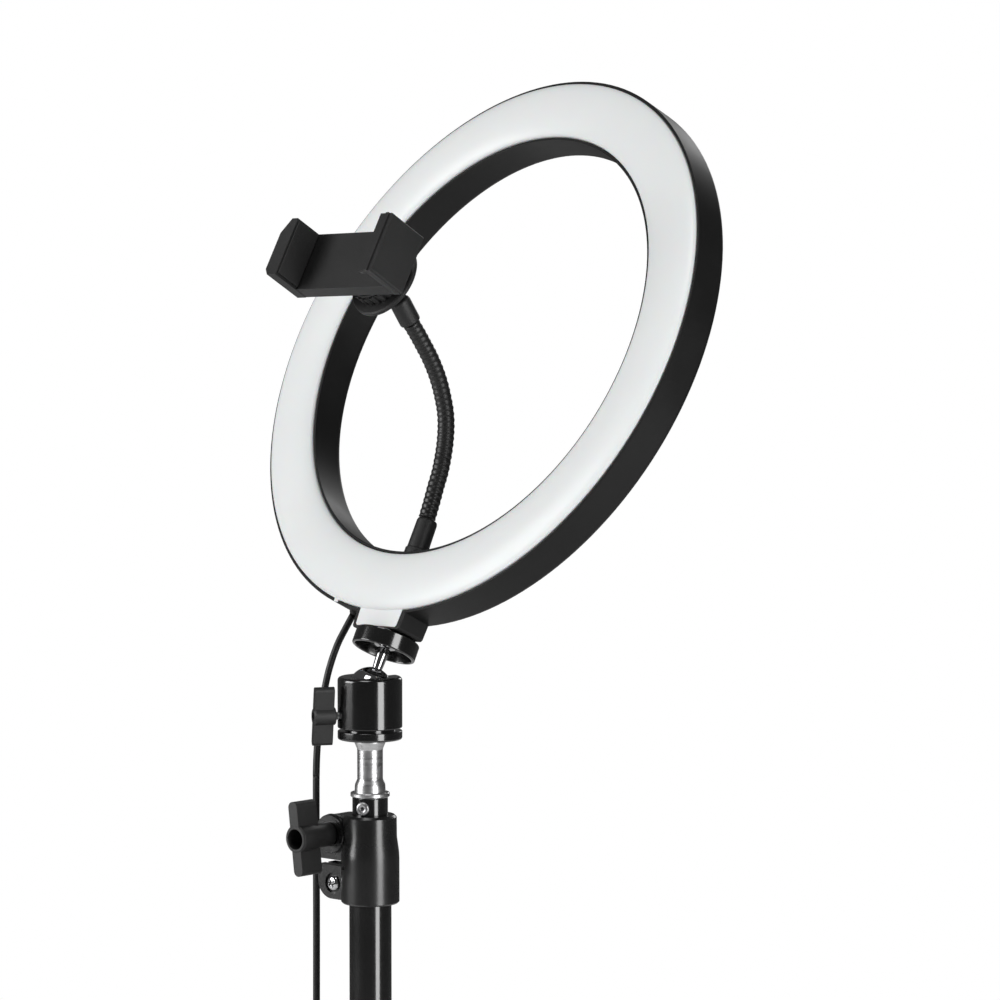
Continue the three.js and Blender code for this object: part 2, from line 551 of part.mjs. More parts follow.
// The holder's own Z points at the user, its X runs across the phone and its Y up it; z = 0 is at the ball.
function makeHolder() {
  const [x, y, z] = lampPoint(0, holderBall.up, holderBall.forward);
  holder.position.set(x, y, z);
  holder.rotation.set(86.4 * degree, 3.5 * degree, 1.8 * degree, "XYZ");

  const nut = cut(
    join(
      turned([
        [5.4, -1.5], [11, -1.5], [12.6, 0], [12.6, 3], [17.5, 3], [17.5, 5.6], [12.6, 5.6], [12.6, 11.5],
        [5.4, 11.5]], 24),
      ...Array.from({ length: 8 }, (_, i) =>
        rod(1.8, 9, 6).translate(12.2, 0, 1.5).rotateZ((i / 8) * 2 * Math.PI)),
    ),
    new THREE.SphereGeometry(5.7, 20, 12),
    turned([[0, -4], [7.4, -4], [4.6, 1], [0, 1]], 24),
    rod(8.3, 12, 24).translate(0, 0, 3.2),
  );
  piece(holder, "holder_nut", nut, finishes.moulded);

  const back = 17.2;
  const front = back + 6.8;
  const [left, right] = [-30, 25.4];
  const [low, high] = [-15.4, 12.7];
  const centre = (low + high) / 2;
  const tip = front + 13.7;
  const boss = turned([[0, 6], [8, 6], [8, 12], [11.4, 12], [11.4, back + 1], [0, back + 1]], 30);
  const jawOutline = polygon([
    [-7.6, high - 7.2], [-3.6, high], [0, high], [0, low], [-5.4, low], [-7.6, low + 2.8]]);
  const fixedJaw = extruded(jawOutline, tip - back).translate(left, 0, back);
  const plate = cut(
    join(block([left - 0.5, right], [low + 0.2, high - 0.2], [back, front]), fixedJaw, boss),
    new THREE.SphereGeometry(5.7, 20, 12),
    block([-18, right + 5], [centre - 9, centre + 9], [back + 2, front - 2]),
  );
  piece(holder, "holder_plate", plate, finishes.moulded);
  const padThickness = 0.9;
  const padSpan = [low + 1.2, high - 1.2];
  piece(holder, "fixed_jaw_pad",
    block([left + gap, left + gap + padThickness], padSpan, [front + gap, tip - 0.8]), finishes.rubber);

  // The sliding jaw: its tongue runs inside the plate, and its lip turns in over the phone.
  const slide = right + gap;
  const lip = 2.2;
  const wall = polygon([[0, high], [3.9, high], [4.6, high - 0.8], [4.6, low + 0.8], [3.9, low], [0, low]]);
  const jaw = join(
    extruded(wall, tip - back).translate(slide, 0, back),
    block([-12, slide + 1], [centre - 8.6, centre + 8.6], [back + 2.4, front - 2.4]),
    block([slide - 3.4, slide + 1], [low, high], [tip - lip, tip]),
    block([slide + 0.4, slide + 2.2], [low, high], [tip - 1, tip + 0.7]),
  );
  piece(holder, "sliding_jaw", jaw, finishes.moulded);
  const slidingPad = block([slide - gap - padThickness, slide - gap], padSpan, [front + gap, tip - lip - gap]);
  piece(holder, "sliding_jaw_pad", slidingPad, finishes.rubber);
  piece(holder, "jaw_spring",
    along(rod(1, 5, 12), [1, 0, 0], [-17.6, centre, (back + front) / 2]), finishes.steel);
}

// ---- lead, controller and plug ----

const lampLead = [
  [-32.18, 16.45, 714.9], [-33.5, 13.2, 708.8], [-34.7, 9.7, 702], [-35.7, 5.3, 690], [-36.1, 1.7, 674],
  [-36, -1, 655], [-35.5, -1.9, 625], [-35.4, -2, 580], [-35.6, -2.4, 480], [-36, -3, 320],
  [-36.5, -3.9, 160], [-37.2, -5, 70], [-39.2, -6.4, 34], [-44, -9.2, 14], [-52.5, -14.7, 4],
  [-63, -21.3, cord.lift], [-72, -28, cord.lift], [-79.5, -36, cord.lift], [-85, -44.4, cord.lift],
  [-92.2, -50.9, 3.4]];
const plugLead = [
  [-149.2, -68.5, 3.4], [-155.2, -70.8, 2.2], [-164, -76.2, cord.lift], [-173.4, -85.2, cord.lift],
  [-181, -96.4, cord.lift]];
const plugTail = [
  [-203.8, -105.7, 4.6], [-212.6, -107.6, 2.4], [-220.6, -112.6, 1.9], [-227.6, -119.6, 3.2],
  [-233.6, -126.8, 4.1]];
const coil = { centre: [-201.6, -82.2], radius: 17, bundle: 4.7, height: 8.7 };

function makeLead() {
  piece(stand, "lamp_lead", tubeAlong(lampLead, cord.radius, 56), finishes.cable);
  piece(stand, "plug_lead", tubeAlong(plugLead, cord.radius, 8), finishes.cable);
  piece(stand, "plug_tail", tubeAlong(plugTail, cord.radius, 8), finishes.cable);
  const { centre, radius, bundle, height } = coil;
  piece(stand, "lead_coil", turned([
    [radius - bundle, 0.9], [radius - bundle + 0.9, 0], [radius + bundle - 0.9, 0], [radius + bundle, 0.9],
    [radius + bundle, height - 1], [radius + bundle - 1, height], [radius - bundle + 1, height],
    [radius - bundle, height - 1]], 28).translate(...centre, 0), finishes.cable);

  const box = new THREE.Group();
  box.name = "controller_frame";
  box.position.set(-120.6, -59.6, 0);
  box.rotation.z = 197 * degree;
  stand.add(box);
  const [long, wide, tall] = [58, 19, 11.5];
  const buttons = { power_button: -17, mode_button: -6 };
  const wells = Object.values(buttons).map((x) => rod(3.5, 6, 20).translate(x, 0, tall - 2.6));
  const rockerWell = extruded(roundedRectangle(21.4, 8.4, 3.2), 6).translate(12.5, 0, tall - 2.6);
  const caseSolid = cut(
    extruded(roundedRectangle(long, wide, 6), tall - 0.2, 4).translate(0, 0, 0.2),
    ...wells, rockerWell);
  piece(box, "controller_case", caseSolid, finishes.moulded);
  for (const [name, x] of Object.entries(buttons)) {
    piece(box, name, turned([[0, tall - 1.7], [3.2, tall - 1.7], [3.2, tall + 0.4], [2.6, tall + 0.8],
      [0, tall + 0.9]], 20).translate(x, 0, 0), finishes.rubber);
  }
  piece(box, "dimmer_rocker",
    extruded(roundedRectangle(20.8, 7.8, 3), 2.3, 4).translate(12.5, 0, tall - 1.5), finishes.rubber);

  const plug = new THREE.Group();
  plug.name = "plug_frame";
  plug.position.set(-233.9, -127.1, 4.1);
  plug.rotation.z = -130 * degree;
  stand.add(plug);
  const grip = join(
    extruded(roundedRectangle(15.4, 8, 2.4), 22, 3)
      .rotateY(Math.PI / 2)
      .rotateX(Math.PI / 2)
      .translate(9, 0, 0),
    along(turned([[0, 0], [1.8, 0], [2.8, 9.5], [0, 9.5]], 16), [1, 0, 0]));
  piece(plug, "plug_grip", grip, finishes.moulded);
  const shell = cut(
    block([31 + gap, 43], [-6, 6], [-2.25, 2.25]),
    block([33.6, 44], [-5.6, 5.6], [-1.85, 1.85]),
  );
  piece(plug, "plug_shell", shell, finishes.chrome);
}

makeTripod();
makeMast();
makeBallHead();
makeStem();
makeRing();
makeNeck();
makeHolder();
makeLead();

export default part;
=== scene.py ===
import json
import math

import bmesh
import bpy
from mathutils import Matrix, Vector


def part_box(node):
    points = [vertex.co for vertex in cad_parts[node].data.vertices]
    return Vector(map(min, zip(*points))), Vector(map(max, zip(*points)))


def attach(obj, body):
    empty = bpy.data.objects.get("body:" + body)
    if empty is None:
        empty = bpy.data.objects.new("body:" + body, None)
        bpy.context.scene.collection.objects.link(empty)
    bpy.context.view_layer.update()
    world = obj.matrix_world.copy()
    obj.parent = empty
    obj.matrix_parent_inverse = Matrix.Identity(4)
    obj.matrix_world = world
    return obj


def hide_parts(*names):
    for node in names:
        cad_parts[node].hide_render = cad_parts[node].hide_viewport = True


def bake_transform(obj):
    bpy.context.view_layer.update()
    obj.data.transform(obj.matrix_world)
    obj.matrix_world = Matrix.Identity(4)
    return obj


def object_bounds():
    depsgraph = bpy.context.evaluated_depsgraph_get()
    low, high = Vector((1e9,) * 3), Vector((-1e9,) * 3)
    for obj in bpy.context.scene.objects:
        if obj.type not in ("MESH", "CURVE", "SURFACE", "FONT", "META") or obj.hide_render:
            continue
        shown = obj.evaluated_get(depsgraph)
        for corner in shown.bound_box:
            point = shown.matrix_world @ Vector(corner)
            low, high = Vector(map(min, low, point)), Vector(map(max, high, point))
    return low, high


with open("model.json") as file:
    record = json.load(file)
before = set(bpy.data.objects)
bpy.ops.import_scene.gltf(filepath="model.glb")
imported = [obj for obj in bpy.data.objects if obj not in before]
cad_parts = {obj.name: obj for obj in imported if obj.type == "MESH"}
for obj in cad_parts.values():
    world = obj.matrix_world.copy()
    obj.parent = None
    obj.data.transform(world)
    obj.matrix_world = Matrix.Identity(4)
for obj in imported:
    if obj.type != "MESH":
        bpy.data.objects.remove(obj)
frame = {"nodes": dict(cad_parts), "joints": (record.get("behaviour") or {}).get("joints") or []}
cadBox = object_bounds()
joints = {joint["name"]: joint for joint in frame["joints"]}
scene = bpy.context.scene
millimetre = 0.001
gap = 0.3  # between touching pieces, in millimetres

# Shapes are drawn in millimetres in a frame of their own, which a matrix then puts in place.


def frameAt(origin, turn=None):
    turn = turn or Matrix.Identity(3)
    return Matrix.Translation(origin) @ turn.to_4x4() @ Matrix.Scale(millimetre, 4)


def shifted(place, x=0.0, y=0.0, z=0.0):
    return place @ Matrix.Translation((x, y, z))


def aimed(place, direction, point=(0, 0, 0)):
    turn = Vector((0, 0, 1)).rotation_difference(Vector(direction)).to_matrix().to_4x4()
    return place @ Matrix.Translation(point) @ turn


lampLean = math.radians(27)
ballCentre = Vector(joints["tilt"]["pos_m"])
mastFoot = Vector((ballCentre.x, ballCentre.y, 0))
mastFrame = frameAt(mastFoot)
ballFrame = frameAt(ballCentre)
lampTurn = Matrix.Rotation(lampLean, 3, Vector(joints["tilt"]["axis"]))
lampFrame = frameAt(ballCentre, lampTurn)  # its Z is the stem, its -Y the way that the lamp faces
ringCentre = 162.0
halfDepth = 8.75
ringFrame = shifted(lampFrame, 0, -halfDepth, ringCentre) @ Matrix.Rotation(math.radians(90), 4, "X")
holderTurn = (
    Matrix.Rotation(math.radians(86.4), 4, "X")
    @ Matrix.Rotation(math.radians(3.5), 4, "Y")
    @ Matrix.Rotation(math.radians(1.8), 4, "Z")
)
holderFrame = shifted(lampFrame, 0, -54 - halfDepth, ringCentre + 1.6) @ holderTurn


# Camera, at standing height a little to the lamp's left, looking slightly down.
cameraSet = {"azimuth": 49.4, "pitch": 4.0, "lens": 144.0, "across": 0.0562, "up": 0.0818, "away": 1.7278}


def addCamera():
    azimuth, pitch = math.radians(cameraSet["azimuth"]), math.radians(cameraSet["pitch"])
    right = Vector((math.cos(azimuth), math.sin(azimuth), 0))
    level, rise = math.cos(pitch), math.sin(pitch)
    back = Vector((math.sin(azimuth) * level, -math.cos(azimuth) * level, rise))
    up = back.cross(right)
    place = ballCentre + right * cameraSet["across"] + up * cameraSet["up"] + back * cameraSet["away"]
    turn = Matrix((right, up, back)).transposed()
    camera = bpy.data.objects.new("camera", bpy.data.cameras.new("camera"))
    camera.data.lens = cameraSet["lens"]
    camera.data.clip_end = 50
    camera.matrix_world = Matrix.Translation(place) @ turn.to_4x4()
    scene.collection.objects.link(camera)
    scene.camera = camera


addCamera()
print("camera set")


# Finishes.

def newMaterial(name, color, roughness, metallic=0.0, **sockets):
    material = bpy.data.materials.new(name)
    material.use_nodes = True
    shader = material.node_tree.nodes["Principled BSDF"]
    shader.inputs["Base Color"].default_value = (*color, 1)
    shader.inputs["Roughness"].default_value = roughness
    shader.inputs["Metallic"].default_value = metallic
    for socket, value in sockets.items():
        shader.inputs[socket.replace("_", " ")].default_value = value
    return material, material.node_tree, shader


def patternNoise(tree, scale, detail=4.0, stretch=(1, 1, 1)):
    coordinates = tree.nodes.new("ShaderNodeTexCoord")
    mapping = tree.nodes.new("ShaderNodeMapping")
    mapping.inputs["Scale"].default_value = stretch
    noise = tree.nodes.new("ShaderNodeTexNoise")
    noise.inputs["Scale"].default_value = scale
    noise.inputs["Detail"].default_value = detail
    tree.links.new(coordinates.outputs["Object"], mapping.inputs["Vector"])
    tree.links.new(mapping.outputs["Vector"], noise.inputs["Vector"])
    return noise.outputs["Fac"]


def spread(tree, value, low, high, start=0.3, end=0.7):
    remap = tree.nodes.new("ShaderNodeMapRange")
    remap.inputs["From Min"].default_value = start
    remap.inputs["From Max"].default_value = end
    remap.inputs["To Min"].default_value = low
    remap.inputs["To Max"].default_value = high
    tree.links.new(value, remap.inputs["Value"])
    return remap.outputs["Result"]


def tinted(tree, value, low, high):
    mix = tree.nodes.new("ShaderNodeMix")
    mix.data_type = "RGBA"
    mix.inputs["A"].default_value = (*low, 1)
    mix.inputs["B"].default_value = (*high, 1)
    tree.links.new(value, mix.inputs["Factor"])
    return mix.outputs["Result"]


def addGrain(tree, shader, value, strength, distance):
    bump = tree.nodes.new("ShaderNodeBump")
    bump.inputs["Strength"].default_value = strength
    bump.inputs["Distance"].default_value = distance
    tree.links.new(value, bump.inputs["Height"])
    tree.links.new(bump.outputs["Normal"], shader.inputs["Normal"])


def surfaced(name, dark, light, roughness, grain, metallic=0.0, wearScale=38, stretch=(1, 1, 1), **sockets):
    material, tree, shader = newMaterial(name, light, sum(roughness) / 2, metallic, **sockets)
    wear = patternNoise(tree, wearScale, 5, stretch)
    tree.links.new(tinted(tree, wear, dark, light), shader.inputs["Base Color"])
    tree.links.new(spread(tree, wear, *roughness), shader.inputs["Roughness"])
    grainScale, strength, distance = grain
    addGrain(tree, shader, patternNoise(tree, grainScale, 2, stretch), strength, distance)
    return material


def grey(value):
    return (value, value, value)


finishes = {
    "satinHousing": surfaced(
        "satinHousing", grey(0.005), grey(0.008), (0.38, 0.48), (1800, 0.12, 0.0001),
        Specular_IOR_Level=0.35),
    "opalPlastic": surfaced(
        "opalPlastic", grey(0.86), grey(0.88), (0.28, 0.3), (300, 0.0, 0.0001),
        Specular_IOR_Level=0.3, Subsurface_Weight=0.15, Subsurface_Scale=0.004),
    "mouldedPlastic": surfaced(
        "mouldedPlastic", grey(0.008), grey(0.014), (0.42, 0.54), (2600, 0.5, 0.00018)),
    "enamelBlack": surfaced(
        "enamelBlack", grey(0.004), grey(0.007), (0.14, 0.24), (260, 0.035, 0.0002),
        Coat_Weight=1.0, Coat_Roughness=0.1),
    "castBlack": surfaced(
        "castBlack", grey(0.006), grey(0.011), (0.24, 0.34), (700, 0.16, 0.0002),
        Coat_Weight=0.5, Coat_Roughness=0.2),
    "rubberBlack": surfaced("rubberBlack", grey(0.011), grey(0.019), (0.7, 0.85), (1500, 0.3, 0.0002)),
    "cableBlack": surfaced("cableBlack", grey(0.008), grey(0.013), (0.34, 0.46), (1200, 0.1, 0.0001)),
    "brightChrome": surfaced(
        "brightChrome", (0.58, 0.58, 0.59), (0.66, 0.66, 0.67), (0.06, 0.11), (300, 0.02, 0.0001), 1.0),
    "zincSteel": surfaced(
        "zincSteel", (0.4, 0.4, 0.41), (0.56, 0.56, 0.56), (0.26, 0.38), (700, 0.08, 0.0001), 1.0, 160),
    "turnedAluminium": surfaced(
        "turnedAluminium", (0.56, 0.56, 0.57), (0.74, 0.74, 0.74), (0.24, 0.36), (500, 0.1, 0.0001), 1.0, 60,
        (1, 1, 14)),
    "turnedBrass": surfaced(
        "turnedBrass", (0.5, 0.36, 0.16), (0.62, 0.46, 0.2), (0.25, 0.35), (700, 0.05, 0.0001), 1.0, 90),
    "boardWhite": surfaced(
        "boardWhite", (0.62, 0.62, 0.58), (0.68, 0.68, 0.64), (0.5, 0.6), (800, 0.05, 0.0001)),
    "tieBlack": surfaced("tieBlack", grey(0.014), grey(0.03), (0.7, 0.85), (2200, 0.4, 0.0002)),
}
print("finishes made")


# Solids.

def meshObject(bm, name):
    mesh = bpy.data.meshes.new(name)
    bm.to_mesh(mesh)
    bm.free()
    made = bpy.data.objects.new(name, mesh)
    scene.collection.objects.link(made)
    return made


def turned(outline, segments=96):
    bm = bmesh.new()
    corners = [bm.verts.new((radius, 0, height)) for radius, height in outline]
    sides = [bm.edges.new(pair) for pair in zip(corners, corners[1:])]
    if outline[0][0] > 0 or outline[-1][0] > 0:
        sides.append(bm.edges.new((corners[-1], corners[0])))
    bmesh.ops.spin(
        bm, geom=corners + sides, cent=(0, 0, 0), axis=(0, 0, 1), angle=2 * math.pi, steps=segments,
        use_merge=True)
    bmesh.ops.remove_doubles(bm, verts=bm.verts, dist=1e-4)
    bmesh.ops.recalc_face_normals(bm, faces=bm.faces)
    return bm


def tubeOf(outer, inner, low, high, segments=96):
    return turned([(inner, low), (outer, low), (outer, high), (inner, high)], segments)


def rod(radius, length, segments=48, start=0.0):
    bm = bmesh.new()
    bmesh.ops.create_cone(
        bm, cap_ends=True, segments=segments, radius1=radius, radius2=radius, depth=length)
    bmesh.ops.translate(bm, verts=bm.verts, vec=(0, 0, start + length / 2))
    return bm


def ball(radius, centre=(0, 0, 0)):
    bm = bmesh.new()
    bmesh.ops.create_uvsphere(bm, u_segments=40, v_segments=24, radius=radius)
    bmesh.ops.translate(bm, verts=bm.verts, vec=centre)
    return bm


def block(xs, ys, zs):
    bm = bmesh.new()
    bmesh.ops.create_cube(bm, size=1)
    bmesh.ops.scale(bm, verts=bm.verts, vec=(xs[1] - xs[0], ys[1] - ys[0], zs[1] - zs[0]))
    bmesh.ops.translate(
        bm, verts=bm.verts, vec=((xs[0] + xs[1]) / 2, (ys[0] + ys[1]) / 2, (zs[0] + zs[1]) / 2))
    return bm


def prism(outline, low, high):
    bm = bmesh.new()
    face = bm.faces.new([bm.verts.new((x, y, low)) for x, y in outline])
    grown = bmesh.ops.extrude_face_region(bm, geom=[face])["geom"]
    top = [item for item in grown if isinstance(item, bmesh.types.BMVert)]
    bmesh.ops.translate(bm, verts=top, vec=(0, 0, high - low))
    bmesh.ops.recalc_face_normals(bm, faces=bm.faces)
    return bm


def arc(centre, radius, start, end, count=8):
    return [
        (centre[0] + radius * math.cos(math.radians(start + (end - start) * i / count)),
         centre[1] + radius * math.sin(math.radians(start + (end - start) * i / count)))
        for i in range(count + 1)
    ]


def roundedOutline(width, height, radius, count=6):
    x, y = width / 2 - radius, height / 2 - radius
    return (arc((x, y), radius, 0, 90, count) + arc((-x, y), radius, 90, 180, count)
            + arc((-x, -y), radius, 180, 270, count) + arc((x, -y), radius, 270, 360, count))


def moved(bm, matrix):
    bm.transform(matrix)
    return bm


def turnedTo(bm, direction, point=(0, 0, 0)):
    return moved(bm, aimed(Matrix.Identity(4), direction, point))


def softened(bm, width, segments=3, angle=32):
    bmesh.ops.remove_doubles(bm, verts=bm.verts, dist=1e-4)
    bmesh.ops.dissolve_limit(
        bm, angle_limit=math.radians(1), use_dissolve_boundaries=False, verts=bm.verts, edges=bm.edges)
    sharp = [edge for edge in bm.edges
             if len(edge.link_faces) == 2 and edge.calc_face_angle(0) > math.radians(angle)]
    bmesh.ops.bevel(
        bm, geom=sharp, offset=width, offset_type="OFFSET", affect="EDGES", segments=segments, profile=0.5,
        material=-1, clamp_overlap=True)
    return bm


def combined(base, tools, operation):
    body = meshObject(base, "carvedBody")
    helpers = [meshObject(tool, "carvingTool") for tool in tools]
    for helper in helpers:
        modifier = body.modifiers.new("carve", "BOOLEAN")
        modifier.operation = operation
        modifier.solver = "EXACT"
        modifier.object = helper
    bpy.context.view_layer.update()
    evaluated = body.evaluated_get(bpy.context.evaluated_depsgraph_get())
    result = bmesh.new()
    result.from_mesh(evaluated.to_mesh())
    evaluated.to_mesh_clear()
    for item in [body, *helpers]:
        mesh = item.data
        bpy.data.objects.remove(item)
        bpy.data.meshes.remove(mesh)
    return result


def cut(base, *tools):
    return combined(base, tools, "DIFFERENCE")


def join(base, *tools):
    return combined(base, tools, "UNION")


def finishPiece(bm, name, body, finish, place, replaced=(), softAngle=38):
    bm.transform(place)
    for face in bm.faces:
        face.smooth = True
    for edge in bm.edges:
        edge.smooth = len(edge.link_faces) == 2 and edge.calc_face_angle(0) < math.radians(softAngle)
    made = meshObject(bm, name)
    weighted = made.modifiers.new("evenNormals", "WEIGHTED_NORMAL")
    weighted.keep_sharp = True
    made.data.materials.append(finishes[finish])
    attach(made, body)
    if replaced:
        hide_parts(*replaced)
    return made


def refined(node, name, body, finish, width=0.5, angle=34):
    bm = bmesh.new()
    bm.from_mesh(frame["nodes"][node].data)
    bm.transform(Matrix.Scale(1 / millimetre, 4))
    softened(bm, width, 2, angle)
    return finishPiece(bm, name, body, finish, Matrix.Scale(millimetre, 4), [node])


# Cords, which come first.

def smoothRoute(points, step):
    points = [Vector(point) for point in points]
    ends = [points[0] * 2 - points[1], *points, points[-1] * 2 - points[-2]]
    route = []
    for before, start, end, after in zip(ends, ends[1:], ends[2:], ends[3:]):
        spans = ((before, start), (start, end), (end, after))
        spacing = [math.sqrt(max((b - a).length, 1e-6)) for a, b in spans]
        startSlope = ((start - before) / spacing[0] - (end - before) / (spacing[0] + spacing[1])
                      + (end - start) / spacing[1]) * spacing[1]
        endSlope = ((end - start) / spacing[1] - (after - start) / (spacing[1] + spacing[2])
                    + (after - end) / spacing[2]) * spacing[1]
        count = max(2, round((end - start).length / step))
        for i in range(count):
            t = i / count
            route.append(
                start * (2 * t ** 3 - 3 * t ** 2 + 1) + startSlope * (t ** 3 - 2 * t ** 2 + t)
                + end * (3 * t ** 2 - 2 * t ** 3) + endSlope * (t ** 3 - t ** 2))
    route.append(points[-1])
    return route


def routeLength(route):
    return sum((b - a).length for a, b in zip(route, route[1:]))


def cordMesh(name, route, radius, sides=4, swell=None):
    line = bpy.data.curves.new(name, "CURVE")
    line.dimensions = "3D"
    spline = line.splines.new("POLY")
    spline.points.add(len(route) - 1)
    for i, (point, at) in enumerate(zip(spline.points, route)):
        point.co = (*at, 1)
        point.radius = swell(i) if swell else 1
    line.bevel_depth = radius
    line.bevel_resolution = sides
    line.use_fill_caps = True
    drawn = bpy.data.objects.new(name + "Line", line)
    scene.collection.objects.link(drawn)
    bpy.context.view_layer.update()
    mesh = bpy.data.meshes.new_from_object(drawn.evaluated_get(bpy.context.evaluated_depsgraph_get()))
    bpy.data.objects.remove(drawn)
    bm = bmesh.new()
    bm.from_mesh(mesh)
    bpy.data.meshes.remove(mesh)
    bmesh.ops.remove_doubles(bm, verts=bm.verts, dist=1e-6)
    bmesh.ops.recalc_face_normals(bm, faces=bm.faces)
    for face in bm.faces:
        face.smooth = len(face.verts) == 4
    return meshObject(bm, name)


def dressed(made, finish):
    made.data.materials.clear()
    made.data.materials.append(finishes[finish])
    return made


lead = {"radius": 1.55, "floor": 1.65, "step": 0.0016}
# The lead's route from the lamp to the controller, from the mast's foot, in millimetres.
lampLeadPoints = [
    (-32.18, 16.45, 714.9), (-33.5, 13.2, 708.8), (-34.7, 9.7, 702), (-35.7, 5.3, 690), (-36.1, 1.7, 674),
    (-36, -1, 655), (-35.5, -1.9, 625), (-35.4, -2, 580), (-35.6, -2.4, 480), (-36, -3, 320),
    (-36.5, -3.9, 160), (-37.2, -5, 70), (-39.2, -6.4, 34), (-44, -9.2, 14), (-52.5, -14.7, 4),
    (-63, -21.3, lead["floor"]), (-72, -28, lead["floor"]), (-79.5, -36, lead["floor"]),
    (-85, -44.4, lead["floor"]), (-92.2, -50.9, 3.4)]
plugLeadPoints = [
    (-149.2, -68.5, 3.4), (-155.2, -70.8, 2.2), (-164, -76.2, lead["floor"]), (-173.4, -85.2, lead["floor"]),
    (-181, -96.4, lead["floor"])]
plugTailPoints = [
    (-203.8, -105.7, 4.6), (-212.6, -107.6, 2.4), (-220.6, -112.6, 1.9), (-227.6, -119.6, 3.2),
    (-233.6, -126.8, 4.1)]
# The coil's lanes, each a radius and a height, wound from the outside of the lowest layer.
coilShape = {
    "centre": (-201.6, -82.2), "steps": 40, "overCrossing": (-202.4, -103.2, 6.5),
    "lanes": [(20.1, 1.65), (17, 1.65), (13.9, 1.65), (15.5, 4.35), (18.5, 4.35), (17, 7.05), (17.1, 7.05)]}


def inMetres(points):
    return [mastFrame @ Vector(point) for point in points]


def leadParts():
    route = smoothRoute(inMetres(lampLeadPoints), lead["step"])
    # Stretches of the hanging lead, from the lamp down: each a name, a length and the two bodies of one
    # joint.
    stretches = [
        ("leadAtLamp", 0.037, "ring", "stud"),
        ("leadAtBall", 0.036, "stud", "ball_house"),
        ("leadAtHead", 0.036, "ball_house", "top_section"),
        ("leadUpper", 0.12, "top_section", "middle_section"),
        ("leadMiddle", 0.3, "middle_section", "mast_base"),
    ]
    starts = 0
    made = []
    for name, length, first, second in stretches:
        ends = starts
        while ends < len(route) - 1 and routeLength(route[starts:ends + 1]) < length:
            ends += 1
        part = route[starts:ends + 1]
        piece = dressed(cordMesh(name, part, lead["radius"] * millimetre), "cableBlack")
        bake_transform(piece)
        made.append((piece, part))
        starts = ends
    part = route[starts:]
    piece = dressed(cordMesh("leadLower", part, lead["radius"] * millimetre), "cableBlack")
    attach(piece, "mast_base")
    made.append((piece, part))
    return made


def coilRoute():
    cx, cy = coilShape["centre"]
    lanes = coilShape["lanes"]
    entry = math.atan2(plugLeadPoints[-1][1] - cy, plugLeadPoints[-1][0] - cx)
    leave = math.atan2(plugTailPoints[0][1] - cy, plugTailPoints[0][0] - cx)
    sweep = 2 * math.pi * (len(lanes) - 1) + (entry - leave) % (2 * math.pi)
    steps, turns = coilShape["steps"], len(lanes) - 1
    route = []
    for i in range(5, turns * steps - 3):
        turn, part = divmod(i, steps)
        mix = min(1, max(0, (part / steps - 0.72) / 0.28))
        mix = mix * mix * (3 - 2 * mix)
        here, after = lanes[turn], lanes[min(turn + 1, turns)]
        radius = here[0] + (after[0] - here[0]) * mix
        height = here[1] + (after[1] - here[1]) * mix
        angle = entry - sweep * i / (turns * steps)
        route.append((cx + radius * math.cos(angle), cy + radius * math.sin(angle), height))
    return route


def coilTie():
    cx, cy = coilShape["centre"]
    radius, turn, height = 17, 1.9, 4.55
    band = tubeOf(5.35, 4.95, -3.2, 3.2, 40)
    # Squashed to lie flat on the floor round the bundle.
    bmesh.ops.scale(band, verts=band.verts, vec=(0.83, 1.08, 1))
    place = shifted(mastFrame, cx + radius * math.cos(turn), cy + radius * math.sin(turn), height)
    place = place @ Matrix.Rotation(turn + math.pi / 2, 4, "Z") @ Matrix.Rotation(math.pi / 2, 4, "Y")
    return finishPiece(band, "coilTie", "mast_base", "tieBlack", place)


def controllerParts():
    place = shifted(mastFrame, -120.6, -59.6) @ Matrix.Rotation(math.radians(197), 4, "Z")
    size = {"long": 58, "wide": 19, "tall": 11.5, "keys": (-17, -6), "rocker": 12.5}
    top = size["tall"]
    shell = prism(roundedOutline(size["long"], size["wide"], 6, 8), 0.2, top)
    wells = [rod(3.5, 6, 40, top - 2.6) for _ in size["keys"]]
    wells = [moved(well, Matrix.Translation((x, 0, 0))) for well, x in zip(wells, size["keys"])]
    rockerWell = prism(roundedOutline(21.4, 8.4, 3.2), top - 2.6, top + 3)
    rockerWell = moved(rockerWell, Matrix.Translation((size["rocker"], 0, 0)))
    seam = cut(prism(roundedOutline(size["long"] + 2, size["wide"] + 2, 7, 8), 5.5, 5.8),
               prism(roundedOutline(size["long"] - 0.7, size["wide"] - 0.7, 5.7, 8), 5, 6.4))
    shell = softened(cut(shell, *wells, rockerWell, seam), 0.45, 3, 40)
    made = [finishPiece(shell, "controllerShell", "mast_base", "mouldedPlastic", place, ["controller_case"])]
    for name, x in zip(("power", "mode"), size["keys"]):
        key = turned(
            [(0, top - 1.7), (3.2, top - 1.7), (3.2, top + 0.3), (2.7, top + 0.75), (0, top + 0.9)], 48)
        made.append(finishPiece(
            key, name + "Key", name + "_key", "rubberBlack", shifted(place, x), [name + "_button"]))
    rocker = softened(prism(roundedOutline(20.8, 7.8, 3), top - 1.5, top + 0.8), 0.4)
    made.append(finishPiece(
        rocker, "dimmerRocker", "dimmer_key", "rubberBlack", shifted(place, size["rocker"]),
        ["dimmer_rocker"]))
    return made


